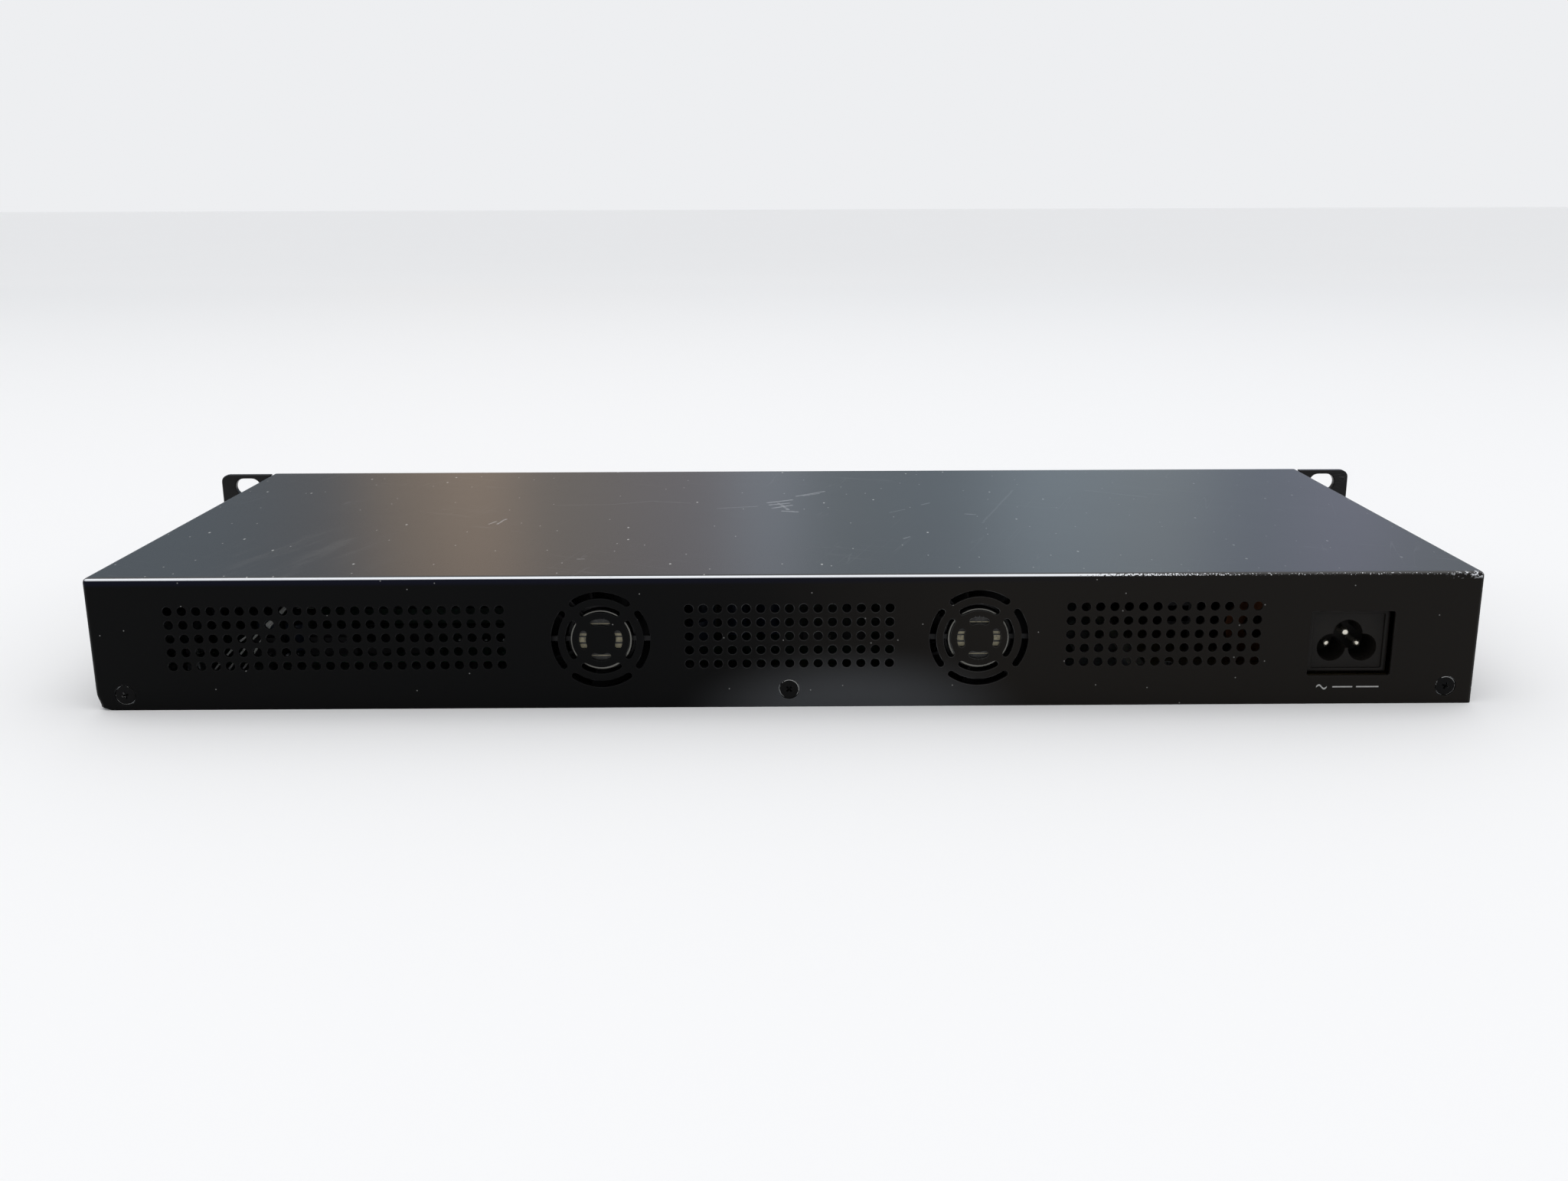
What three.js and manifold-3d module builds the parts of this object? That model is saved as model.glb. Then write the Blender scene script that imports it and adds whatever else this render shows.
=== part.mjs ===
// A 1U rack-mount firewall appliance: folded steel cover with its vents and fan grilles, base tray,
// plastic fascia, rack ears, two fans, an open-frame power supply and a main board with its ports.
//
// Millimetres. The origin is the centre of the footprint on the underside. +Z is up, -Y is the back with
// the fans and the mains inlet, and +Y is the front with the network ports and the rack ears.
import * as THREE from "three";
import { mergeVertices } from "three/addons/utils/BufferGeometryUtils.js";
import Module from "manifold-3d";

const wasm = await Module();
wasm.setup();

// ---------------------------------------------------------------- driving dimensions
const BODY_WIDTH = 440;
const RACK_WIDTH = 482.6;
const DEPTH = 175;
const HEIGHT = 43.5;
const SHEET = 1.0;
const TRAY_SHEET = 1.2;
const GAP = 0.3;

const BACK = -DEPTH / 2;
const FRONT = DEPTH / 2;
const SIDE = BODY_WIDTH / 2;
const TRAY_SIDE = SIDE - SHEET - GAP;
const TRAY_BACK = BACK + SHEET + GAP;

const COVER_FRONT = FRONT - 0.5;
const COVER_BEND = 1.6;
const BEND_STEPS = 3;

const VENT_PITCH = 4.53;
const VENT_RADIUS = 1.5;
const VENT_SIDES = 6;
const VENT_ROWS = 5;
const VENT_CENTRE_Z = 23.6;
const VENT_GROUPS = [
  { firstX: -194.3, columns: 24 },
  { firstX: -30.6, columns: 15 },
  { firstX: 90.2, columns: 14 },
];

const FAN_SIZE = 40;
const FAN_DEPTH = 20;
const FAN_Z = 22.2;
const FANS = { left: -58.6, right: 61.1 };
const GRILLE_Z = 22.6;
const GRILLE_RINGS = [5.8, 10.15, 14.65];
const GRILLE_SLOT = 2.2;
const GRILLE_SPOKE = 2.6;

const INLET_X = 179.5;
const INLET_Z = 20.1;
const INLET_OPENING = { width: 26.7, height: 21.3 };
const INLET_FLANGE = { width: 25.5, height: 20.3 };
const INLET_RECESS = 2.8;
const INLET_DEPTH = 22;
const INLET_CAVITY = 12.5;
const LINE_PIN = { radius: 1.2, dx: 5, dz: -2.3, recess: 4.7, lobe: 4.4 };
const EARTH_PIN = { radius: 1.3, dx: 0, dz: 2.1, recess: 2.3, lobe: 4.7 };

const SCREW = { head: 3.1, shank: 1.55, length: 6 };
const REAR_SCREWS = { left: [-210.5, 5], middle: [0.9, 5.9], right: [211, 5.8] };
const SIDE_SCREW_Y = -60;
const SIDE_SCREW_Z = 7.5;

const EAR = { plate: 3, flange: 2, flangeBack: 38, height: 42, centreZ: 22.3, corner: 3 };
const EAR_SLOT = { width: 10.6, height: 7.2, spacing: 31.75, fromEdge: 11 };
const EAR_SCREWS = [
  { y: 50, dz: -11 },
  { y: 66, dz: 11 },
];

const BOARD_UNDERSIDE = 6;
const BOARD_THICKNESS = 1.6;
const BOARD_TOP = BOARD_UNDERSIDE + BOARD_THICKNESS;
const ON_BOARD = BOARD_TOP + GAP;
const MAIN_BOARD = { x0: -208, x1: 98, y0: -58, y1: 83 };
const PSU_BOARD = { x0: 120, x1: 212, y0: -80, y1: 36 };
const MAIN_BOARD_SCREWS = [[-202, -52], [92, -52], [-202, 66], [92, 66]];
const PSU_BOARD_SCREWS = [[125, -75], [207, -75], [125, 31], [207, 31]];
const STANDOFF_RADIUS = 3;

const WALL_FRONT = FRONT - 2.5;
const WALL_BACK = WALL_FRONT - TRAY_SHEET;
const FASCIA_FRONT = FRONT - 0.2;
const FASCIA_BACK = WALL_FRONT + GAP;
const PORT_FACE = FASCIA_FRONT - 0.4;

const JACK = { pitch: 14, wall: 1.15, height: 13.4, depth: 21, cavity: 14.5, openWidth: 11.7, openHeight: 7, floor: 1.6 };
const JACK_NOTCH = { width: 6.2, height: 2.4 };
const LAN_BLOCKS = { a: -32, b: -96 };
const LAN_PORTS = 4;
const CONSOLE_X = 14;
const USB = { x: 34, width: 13.4, height: 15.6, depth: 17.5, cavity: 12, openWidth: 12.3, openHeight: 5.1 };
const RESET = { x: 49, z: 12, radius: 1.5, collar: 2.4 };
const LIGHTS = { firstX: 62, pitch: 6, count: 6, z: 24, size: 2.2 };

// ---------------------------------------------------------------- finishes
const finish = (color, roughness, metalness) => new THREE.MeshStandardMaterial({ color, roughness, metalness });
const PAINTED_STEEL = finish(0x15171b, 0.42, 0.1);
const TRAY_STEEL = finish(0xaeb2b5, 0.4, 0.9);
const FASCIA_PLASTIC = finish(0x121315, 0.5, 0);
const EAR_PAINT = finish(0x0c0d0e, 0.35, 0.1);
const BLACK_SCREW = finish(0x1a1b1d, 0.4, 0.6);
const ZINC_SCREW = finish(0xc2c4c6, 0.35, 1);
const FAN_PLASTIC = finish(0x0e0e0f, 0.5, 0);
const LABEL_PAPER = finish(0xb3a77f, 0.7, 0);
const INLET_PLASTIC = finish(0x151514, 0.55, 0);
const PIN_METAL = finish(0xc9c7bd, 0.3, 1);
const MAIN_LAMINATE = finish(0x16452c, 0.45, 0);
const POWER_LAMINATE = finish(0x6d5a2c, 0.5, 0);
const CHIP_BLACK = finish(0x18191a, 0.45, 0);
const ALUMINIUM = finish(0xb9bcbf, 0.35, 1);
const CAN_SLEEVE = finish(0x16202e, 0.35, 0.1);
const COIL_TAPE = finish(0xc79a2d, 0.5, 0);
const INSULATOR_SHEET = finish(0xd8d6cc, 0.6, 0);
const PORT_SHIELD = finish(0xbfc2c4, 0.3, 1);
const CLEAR_PLASTIC = finish(0xe6ecee, 0.2, 0);
const CABLE_JACKET = finish(0x151515, 0.6, 0);

// ---------------------------------------------------------------- geometry helpers
/** Turns a closed three.js geometry into a manifold-3d solid. */
function toSolid(geometry) {
  const bare = new THREE.BufferGeometry().setAttribute("position", geometry.getAttribute("position"));
  if (geometry.index) bare.setIndex(geometry.index);
  const merged = mergeVertices(bare, 1e-4);
  return new wasm.Manifold(
    new wasm.Mesh({
      numProp: 3,
      vertProperties: new Float32Array(merged.attributes.position.array),
      triVerts: new Uint32Array(merged.index.array),
    }),
  );
}

/** Turns a manifold-3d solid back into a three.js geometry. */
function toGeometry(solid) {
  const { vertProperties, triVerts, numProp } = solid.getMesh();
  const count = vertProperties.length / numProp;
  const positions = new Float32Array(count * 3);
  for (let i = 0; i < count; i++) positions.set(vertProperties.subarray(i * numProp, i * numProp + 3), i * 3);
  const geometry = new THREE.BufferGeometry().setAttribute("position", new THREE.BufferAttribute(positions, 3));
  geometry.setIndex(new THREE.BufferAttribute(new Uint32Array(triVerts), 1));
  geometry.computeVertexNormals();
  return geometry;
}

/** Joins geometries that overlap into one solid. */
const join = (...geometries) => geometries.map(toSolid).reduce((a, b) => a.add(b));

/** Cuts geometries away from a solid. */
const cut = (solid, ...cutters) => cutters.reduce((rest, cutter) => rest.subtract(toSolid(cutter)), solid);

/** A box given by its limits on each axis. */
function block(x0, x1, y0, y1, z0, z1) {
  const box = new THREE.BoxGeometry(x1 - x0, y1 - y0, z1 - z0);
  return box.translate((x0 + x1) / 2, (y0 + y1) / 2, (z0 + z1) / 2);
}

/** A box centred on x, standing between y0 and y1 and between z0 and z1. */
const centredBlock = (x, width, y0, y1, z0, z1) => block(x - width / 2, x + width / 2, y0, y1, z0, z1);

/** A cylinder or cone frustum along Z, from z0 to z1. */
function rodZ(x, y, z0, z1, radius, sides, topRadius = radius) {
  const rod = new THREE.CylinderGeometry(topRadius, radius, z1 - z0, sides);
  return rod.rotateX(Math.PI / 2).translate(x, y, (z0 + z1) / 2);
}

/** A cylinder or cone frustum along Y, from y0 to y1. */
function rodY(x, z, y0, y1, radius, sides, endRadius = radius) {
  const rod = new THREE.CylinderGeometry(endRadius, radius, y1 - y0, sides);
  return rod.translate(x, (y0 + y1) / 2, z);
}

/** Extrudes shapes drawn in (x, z) along Y. */
function prismY(shapes, y0, y1, curveSegments = 2) {
  const prism = new THREE.ExtrudeGeometry(shapes, { depth: y1 - y0, bevelEnabled: false, curveSegments });
  return prism.rotateX(Math.PI / 2).translate(0, y1, 0);
}

/** Extrudes shapes drawn in (y, z) along X. */
function prismX(shapes, x0, x1, curveSegments = 2) {
  const prism = new THREE.ExtrudeGeometry(shapes, { depth: x1 - x0, bevelEnabled: false, curveSegments });
  return prism.rotateX(Math.PI / 2).rotateZ(Math.PI / 2).translate(x0, 0, 0);
}

/** Extrudes shapes drawn in (x, y) along Z. */
function prismZ(shapes, z0, z1, curveSegments = 2) {
  const prism = new THREE.ExtrudeGeometry(shapes, { depth: z1 - z0, bevelEnabled: false, curveSegments });
  return prism.translate(0, 0, z0);
}

/** A regular polygon as a shape. */
function polygon(x, y, radius, sides) {
  const corner = (i) => {
    const angle = (2 * Math.PI * (i + 0.5)) / sides;
    return new THREE.Vector2(x + radius * Math.cos(angle), y + radius * Math.sin(angle));
  };
  return new THREE.Shape(Array.from({ length: sides }, (_, i) => corner(i)));
}

/** A rectangle whose corners, anticlockwise from the lowest, have the given radii. */
function roundedRectangle(x0, x1, y0, y1, radii) {
  const corners = [[x0, y0, 1, 1], [x1, y0, -1, 1], [x1, y1, -1, -1], [x0, y1, 1, -1]];
  const points = corners.flatMap(([x, y, sx, sy], k) => {
    const r = radii[k];
    if (!r) return [new THREE.Vector2(x, y)];
    const start = Math.PI + (k * Math.PI) / 2;
    return Array.from({ length: BEND_STEPS + 1 }, (_, i) => {
      const angle = start + (i / BEND_STEPS) * (Math.PI / 2);
      return new THREE.Vector2(x + sx * r + r * Math.cos(angle), y + sy * r + r * Math.sin(angle));
    });
  });
  return new THREE.Shape(points);
}

/** A straight slot with round ends, long along its first axis. */
function straightSlot(x, y, length, width) {
  const r = width / 2;
  const half = length / 2 - r;
  return new THREE.Shape()
    .absarc(x + half, y, r, -Math.PI / 2, Math.PI / 2, false)
    .absarc(x - half, y, r, Math.PI / 2, (3 * Math.PI) / 2, false);
}

// ---------------------------------------------------------------- cover
/** A box with rounded back, top and side folds, that runs on past its front and underside. */
function foldedBox(side, back, front, bottom, top, bend) {
  const acrossX = prismX(roundedRectangle(back, front, bottom, top, [0, 0, 0, bend]), -side, side);
  const acrossY = prismY(roundedRectangle(-side, side, bottom, top, [0, 0, bend, bend]), back, front);
  const acrossZ = prismZ(roundedRectangle(-side, side, back, front, [bend, bend, 0, 0]), bottom, top);
  return toSolid(acrossX).intersect(toSolid(acrossY)).intersect(toSolid(acrossZ));
}

/** The centres of every vent hole in the back. */
function ventHoles() {
  return VENT_GROUPS.flatMap(({ firstX, columns }) =>
    Array.from({ length: columns * VENT_ROWS }, (_, i) => {
      const column = i % columns;
      const row = Math.floor(i / columns) - (VENT_ROWS - 1) / 2;
      return polygon(firstX + column * VENT_PITCH, VENT_CENTRE_Z + row * VENT_PITCH, VENT_RADIUS, VENT_SIDES);
    }),
  );
}

/** One curved slot of a fan grille, with round ends, centred on an angle. */
function arcSlot(x, z, ring, angle) {
  const r = GRILLE_SLOT / 2;
  const half = Math.PI / 4 - Math.asin((GRILLE_SPOKE + GRILLE_SLOT) / 2 / ring);
  const end = (a) => [x + ring * Math.cos(a), z + ring * Math.sin(a)];
  const [a0, a1] = [angle - half, angle + half];
  return new THREE.Shape()
    .absarc(x, z, ring + r, a0, a1, false)
    .absarc(...end(a1), r, a1, a1 + Math.PI, false)
    .absarc(x, z, ring - r, a1, a0, true)
    .absarc(...end(a0), r, a0 + Math.PI, a0 + 2 * Math.PI, false);
}

/** The curved slots in front of both fans: three rings of four. */
function grilleSlots() {
  const quarters = [0, 1, 2, 3].map((k) => (k * Math.PI) / 2);
  return Object.values(FANS).flatMap((x) =>
    GRILLE_RINGS.flatMap((ring) => quarters.map((angle) => arcSlot(x, GRILLE_Z, ring, angle))),
  );
}

/** The folded cover: top, both sides and the back with its vents, grilles and inlet opening. */
function topCover() {
  const past = 5;
  const inner = foldedBox(SIDE - SHEET, BACK + SHEET, COVER_FRONT + past, -past, HEIGHT - SHEET, COVER_BEND - SHEET);
  const shell = foldedBox(SIDE, BACK, COVER_FRONT, 0, HEIGHT, COVER_BEND).subtract(inner);
  const [y0, y1] = [BACK - 1, BACK + SHEET + 1];
  const { width, height } = INLET_OPENING;
  const inlet = centredBlock(INLET_X, width, y0, y1, INLET_Z - height / 2, INLET_Z + height / 2);
  const rearScrews = Object.values(REAR_SCREWS).map(([x, z]) => rodY(x, z, y0, y1, SCREW.head + GAP, 12));
  const sideHoles = [-1, 1].flatMap((side) => [
    crossRod(side, SIDE_SCREW_Y, SIDE_SCREW_Z, SIDE - 3, SIDE + 1, SCREW.head + GAP),
    ...EAR_SCREWS.map(({ y, dz }) => crossRod(side, y, EAR.centreZ + dz, SIDE - 3, SIDE + 1, SCREW.shank + GAP)),
  ]);
  return cut(
    shell,
    prismY(ventHoles(), y0, y1),
    prismY(grilleSlots(), y0, y1),
    inlet,
    ...rearScrews,
    ...sideHoles,
  );
}

/** A cylinder or cone frustum along X, on the left (-1) or right (1) side, from x0 out to x1. */
function crossRod(side, y, z, x0, x1, radius, outerRadius = radius) {
  const rod = new THREE.CylinderGeometry(outerRadius, radius, x1 - x0, 12);
  return rod.rotateZ((-side * Math.PI) / 2).translate((side * (x0 + x1)) / 2, y, z);
}

// ---------------------------------------------------------------- tray and fascia
/** Openings that the tray's front wall and the fascia share, each enlarged by a margin, from y0 to y1. */
function portOpenings(margin, y0, y1) {
  const hole = (x, width, z0, z1) => centredBlock(x, width + 2 * margin, y0, y1, z0 - margin, z1 + margin);
  const jackTop = ON_BOARD + JACK.height;
  const lanWidth = JACK.pitch * LAN_PORTS + JACK.wall;
  const windows = Array.from({ length: LIGHTS.count }, (_, i) =>
    hole(LIGHTS.firstX + i * LIGHTS.pitch, LIGHTS.size, LIGHTS.z - LIGHTS.size / 2, LIGHTS.z + LIGHTS.size / 2),
  );
  return [
    ...Object.values(LAN_BLOCKS).map((x) => hole(x, lanWidth, ON_BOARD, jackTop)),
    hole(CONSOLE_X, JACK.pitch + JACK.wall, ON_BOARD, jackTop),
    hole(USB.x, USB.width, ON_BOARD, ON_BOARD + USB.height),
    rodY(RESET.x, RESET.z, y0, y1, RESET.radius + margin, 12),
    ...windows,
  ];
}

/** Pressed-in standoff with its tapped hole left for the board screw. */
const standoff = ([x, y]) => rodZ(x, y, TRAY_SHEET / 2, BOARD_UNDERSIDE - GAP, STANDOFF_RADIUS, 8);

/** The galvanised base tray: floor, side flanges, ear tabs, rear screw tabs, front wall and standoffs. */
function baseTray() {
  const [t, side] = [TRAY_SHEET, TRAY_SIDE];
  const flangeHeight = 14;
  const earTabHeight = 38;
  const rearTab = 12;
  const floor = block(-side, side, TRAY_BACK, WALL_FRONT, 0, t);
  const wall = block(-side, side, WALL_BACK, WALL_FRONT, 0, HEIGHT - SHEET - 1);
  const sides = [-1, 1].flatMap((s) => {
    const [x0, x1] = s < 0 ? [-side, -side + t] : [side - t, side];
    return [
      block(x0, x1, TRAY_BACK, WALL_FRONT, 0, flangeHeight),
      block(x0, x1, EAR.flangeBack + 4, WALL_FRONT, 0, earTabHeight),
    ];
  });
  const tabs = Object.values(REAR_SCREWS).map(([x]) => {
    const inboard = Math.max(-side, Math.min(side, x - rearTab));
    return block(inboard, Math.min(side, x + rearTab), TRAY_BACK, TRAY_BACK + t, 0, 11);
  });
  const standoffs = [...MAIN_BOARD_SCREWS, ...PSU_BOARD_SCREWS].map(standoff);
  const tray = join(floor, wall, ...sides, ...tabs, ...standoffs);
  const screwHoles = [...MAIN_BOARD_SCREWS, ...PSU_BOARD_SCREWS].map(([x, y]) => rodZ(x, y, 2.5, 8, 1.5, 8));
  const [past0, past1] = [TRAY_BACK - 0.4, TRAY_BACK + t + 0.4];
  const rearHoles = Object.values(REAR_SCREWS).map(([x, z]) => rodY(x, z, past0, past1, 3.5, 12, 1.9));
  const sideHoles = [-1, 1].flatMap((s) => [
    crossRod(s, SIDE_SCREW_Y, SIDE_SCREW_Z, side - t - 0.4, side + 0.4, 1.9, 3.5),
    ...EAR_SCREWS.map(({ y, dz }) => crossRod(s, y, EAR.centreZ + dz, side - t - 1, side + 1, SCREW.shank + GAP)),
  ]);
  return cut(tray, ...screwHoles, ...rearHoles, ...sideHoles, ...portOpenings(0.5, WALL_BACK - 1, WALL_FRONT + 1));
}

/** The moulded front fascia, inside the cover's front edge, with openings for every port and light. */
function frontFascia() {
  const side = SIDE - SHEET - GAP;
  const outline = roundedRectangle(-side, side, 0.2, HEIGHT - SHEET - GAP, [0, 0, 0.8, 0.8]);
  const plate = toSolid(prismY(outline, FASCIA_BACK, FASCIA_FRONT));
  return cut(plate, ...portOpenings(GAP, FASCIA_BACK - 1, FASCIA_FRONT + 1));
}

/** The clear moulding that carries light from the board to the row of windows. */
function statusLightPipe() {
  const { firstX, pitch, count, z, size } = LIGHTS;
  const lastX = firstX + (count - 1) * pitch;
  const bar = block(firstX - 2, lastX + 2, WALL_BACK - 8, WALL_BACK - 5, z - 2, z + 2);
  const pipes = Array.from({ length: count }, (_, i) => {
    const x = firstX + i * pitch;
    return centredBlock(x, size, WALL_BACK - 6, FASCIA_FRONT, z - size / 2, z + size / 2);
  });
  const legs = [firstX, lastX].map((x) => centredBlock(x, 2, WALL_BACK - 8, WALL_BACK - 5, ON_BOARD, z));
  return join(bar, ...pipes, ...legs);
}

// ---------------------------------------------------------------- rack ears and screws
/** One rack ear: a thick slotted plate at the front with a flange along the cover's side. */
function rackEar(side) {
  const inner = SIDE + GAP;
  const outer = RACK_WIDTH / 2;
  const [z0, z1] = [EAR.centreZ - EAR.height / 2, EAR.centreZ + EAR.height / 2];
  const [x0, x1] = side < 0 ? [-outer, -inner] : [inner, outer];
  const radii = side < 0 ? [EAR.corner, 0, 0, EAR.corner] : [0, EAR.corner, EAR.corner, 0];
  const plate = prismY(roundedRectangle(x0, x1, z0, z1, radii), FRONT - EAR.plate, FRONT);
  const [f0, f1] = side < 0 ? [-inner - EAR.flange, -inner] : [inner, inner + EAR.flange];
  const flange = block(f0, f1, EAR.flangeBack, FRONT - 1, z0 + 2, z1 - 2);
  const slots = [-1, 1].map((k) => {
    const x = side * (outer - EAR_SLOT.fromEdge);
    return straightSlot(x, EAR.centreZ + (k * EAR_SLOT.spacing) / 2, EAR_SLOT.width, EAR_SLOT.height);
  });
  const holes = EAR_SCREWS.map(({ y, dz }) =>
    crossRod(side, y, EAR.centreZ + dz, inner - 0.2, inner + EAR.flange + 0.2, 1.9, SCREW.head + 0.5),
  );
  return cut(join(plate, flange), prismY(slots, FRONT - EAR.plate - 1, FRONT + 1, 4), ...holes);
}

/** A flat-head screw profile, from its head's face at 0 down to its tip, turned about Y. */
function screwProfile(headDepth, taper) {
  const { head, shank, length } = SCREW;
  const points = [[0, 0], [head, 0], [head, -headDepth], [shank, -headDepth - taper], [shank, -length], [0, -length]];
  return new THREE.LatheGeometry(points.reverse().map(([r, y]) => new THREE.Vector2(r, y)), 12);
}

/** A countersunk screw through the back of the cover. */
const rearScrew = ([x, z]) => toSolid(screwProfile(1.0, 1.2).rotateZ(Math.PI).translate(x, BACK + 0.1, z));

/** A countersunk screw through a side of the cover. */
function sideScrew(side) {
  const screw = screwProfile(1.0, 1.2).rotateZ((-side * Math.PI) / 2);
  return toSolid(screw.translate(side * (SIDE - 0.1), SIDE_SCREW_Y, SIDE_SCREW_Z));
}

/** A countersunk screw through a rack ear, into the tray's ear tab. */
function earScrew(side, { y, dz }) {
  const screw = screwProfile(0.3, 1.5).rotateZ((-side * Math.PI) / 2);
  return toSolid(screw.translate(side * (SIDE + GAP + EAR.flange - 0.1), y, EAR.centreZ + dz));
}

/** A pan-head screw that holds a board down on a standoff. */
const boardScrew = ([x, y]) => join(rodZ(x, y, ON_BOARD, ON_BOARD + 1.8, 2.8, 10), rodZ(x, y, 3, ON_BOARD + 1, 1.2, 8));

// ---------------------------------------------------------------- fans
const FAN_BACK = TRAY_BACK + 0.2;
const FAN_FRONT = FAN_BACK + FAN_DEPTH;
const FAN_BORE = 18.5;
const FAN_HOLE = 16;
const STATOR = { radius: 9.8, thickness: 2.6, post: 3, strut: 2.2 };
const STRUT_ANGLES = [0, 130, 180, 310];
const ROTOR = { radius: 11, wall: 1.2, blade: 18, blades: 7, back: FAN_BACK + 3.2, front: FAN_FRONT - 1.2, shaft: 1 };

/** The fan's square frame, with struts that carry the stator disc and its bearing post. */
function fanFrame(x) {
  const half = FAN_SIZE / 2;
  const outline = roundedRectangle(x - half, x + half, FAN_Z - half, FAN_Z + half, [3, 3, 3, 3]);
  const body = cut(
    toSolid(prismY(outline, FAN_BACK, FAN_FRONT)),
    rodY(x, FAN_Z, FAN_BACK - 1, FAN_FRONT + 1, FAN_BORE, 24),
  );
  const struts = STRUT_ANGLES.map((degrees) => {
    const length = FAN_BORE - STATOR.radius + 3;
    const middle = STATOR.radius - 1.5 + length / 2;
    const strut = new THREE.BoxGeometry(length, STATOR.thickness - 0.6, STATOR.strut);
    strut.translate(middle, FAN_BACK + STATOR.thickness / 2, 0).rotateY(THREE.MathUtils.degToRad(-degrees));
    return strut.translate(x, 0, FAN_Z);
  });
  const disc = rodY(x, FAN_Z, FAN_BACK, FAN_BACK + STATOR.thickness, STATOR.radius, 24);
  const post = rodY(x, FAN_Z, FAN_BACK + 1, ROTOR.front - 3, STATOR.post, 12);
  const bearing = rodY(x, FAN_Z, FAN_BACK + 1.5, ROTOR.front, ROTOR.shaft + 0.1, 12);
  const labelRecess = rodY(x, FAN_Z, FAN_BACK - 1, FAN_BACK + 0.6, STATOR.radius - 0.9, 24);
  const corners = [-1, 1].flatMap((sx) =>
    [-1, 1].map((sz) => rodY(x + sx * FAN_HOLE, FAN_Z + sz * FAN_HOLE, FAN_BACK - 1, FAN_FRONT + 1, 1.8, 8)),
  );
  return cut(body.add(join(disc, post, ...struts)), bearing, labelRecess, ...corners);
}

/** One blade: a thin curved section set at an angle, running out from the hub. */
function fanBlade(index) {
  const { radius, blade, blades, back, front } = ROTOR;
  const chord = (front - back) * 0.92;
  const bow = 1.6;
  const thick = 0.8;
  const steps = 3;
  const edge = (offset) =>
    Array.from({ length: steps + 1 }, (_, i) => {
      const u = i / steps;
      return new THREE.Vector2((u - 0.5) * chord, (u - 0.5) * chord * 0.55 + 4 * bow * u * (1 - u) + offset);
    });
  const section = new THREE.Shape([...edge(-thick / 2), ...edge(thick / 2).reverse()]);
  const solid = toSolid(prismX(section, radius - 0.8, blade + 1).translate(0, (back + front) / 2, 0));
  const trim = rodY(0, 0, back, front, blade, 24);
  const turned = toGeometry(solid.intersect(toSolid(trim)));
  return toSolid(turned.rotateY((index / blades) * 2 * Math.PI));
}

/** The impeller: a hub cup open to the stator, its shaft, and seven blades. */
function fanImpeller(x) {
  const { radius, wall, blades, back, front, shaft } = ROTOR;
  const cup = cut(toSolid(rodY(0, 0, back, front, radius, 20)), rodY(0, 0, back - 1, front - wall, radius - wall, 20));
  const spindle = toSolid(rodY(0, 0, FAN_BACK + 1.8, front - wall / 2, shaft, 12));
  const bladed = Array.from({ length: blades }, (_, i) => fanBlade(i)).reduce((a, b) => a.add(b), cup.add(spindle));
  return toSolid(toGeometry(bladed).translate(x, 0, FAN_Z));
}

/** The round label in the stator's recess. */
const fanLabel = (x) => toSolid(rodY(x, FAN_Z, FAN_BACK + 0.15, FAN_BACK + 0.35, STATOR.radius - 1.3, 24));

/** The bracket in front of a fan: a bored plate on a foot that is welded to the tray. */
function fanBracket(x) {
  const [y0, y1] = [FAN_FRONT + GAP, FAN_FRONT + GAP + 1];
  const plate = block(x - 21, x + 21, y0, y1, TRAY_SHEET + GAP, HEIGHT - SHEET - 1);
  const foot = block(x - 21, x + 21, y0, y1 + 3.5, TRAY_SHEET + GAP, TRAY_SHEET + GAP + 1);
  const bore = rodY(x, FAN_Z, y0 - 1, y1 + 1, FAN_BORE - 0.5, 20);
  const holes = fanScrewPlaces(x).map(([sx, sz]) => rodY(sx, sz, y0 - 1, y1 + 1, 1.9, 8));
  return cut(join(plate, foot), bore, ...holes);
}

/** The two corners, low and high, where screws hold a fan to its bracket. */
const fanScrewPlaces = (x) => [[x - FAN_HOLE, FAN_Z - FAN_HOLE], [x + FAN_HOLE, FAN_Z + FAN_HOLE]];

/** A pan-head screw through the bracket into a corner of the fan. */
function fanScrew([x, z]) {
  const seat = FAN_FRONT + GAP + 1 + 0.1;
  return join(rodY(x, z, seat, seat + 1.8, 2.7, 10), rodY(x, z, seat - 14, seat + 1, 1.4, 8));
}

// ---------------------------------------------------------------- mains inlet and power supply
/** The three-lobed outline that the mains plug goes into. */
function cloverLobes(y0, y1, shrink = 0) {
  const lobe = (x, z, radius) => rodY(INLET_X + x, INLET_Z + z, y0, y1, radius - shrink, 16);
  const { dx, dz } = LINE_PIN;
  return [
    lobe(-dx, dz, LINE_PIN.lobe),
    lobe(dx, dz, LINE_PIN.lobe),
    lobe(EARTH_PIN.dx, EARTH_PIN.dz, EARTH_PIN.lobe),
  ];
}

/** The moulded mains inlet: flange face, body on the board and the clover-shaped socket. */
function mainsInlet() {
  const face = BACK + INLET_RECESS;
  const { width, height } = INLET_FLANGE;
  const flange = centredBlock(INLET_X, width, face, face + 4, INLET_Z - height / 2, INLET_Z + height / 2);
  const body = centredBlock(INLET_X, width - 2.4, face + 1, face + INLET_DEPTH, ON_BOARD, INLET_Z + height / 2 - 1.2);
  const pinHoles = mainsPins().map(([x, z, radius]) => rodY(x, z, face + 1, face + INLET_DEPTH + 1, radius + 0.1, 12));
  return cut(join(flange, body), ...cloverLobes(face - 1, face + INLET_CAVITY), ...pinHoles);
}

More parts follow.
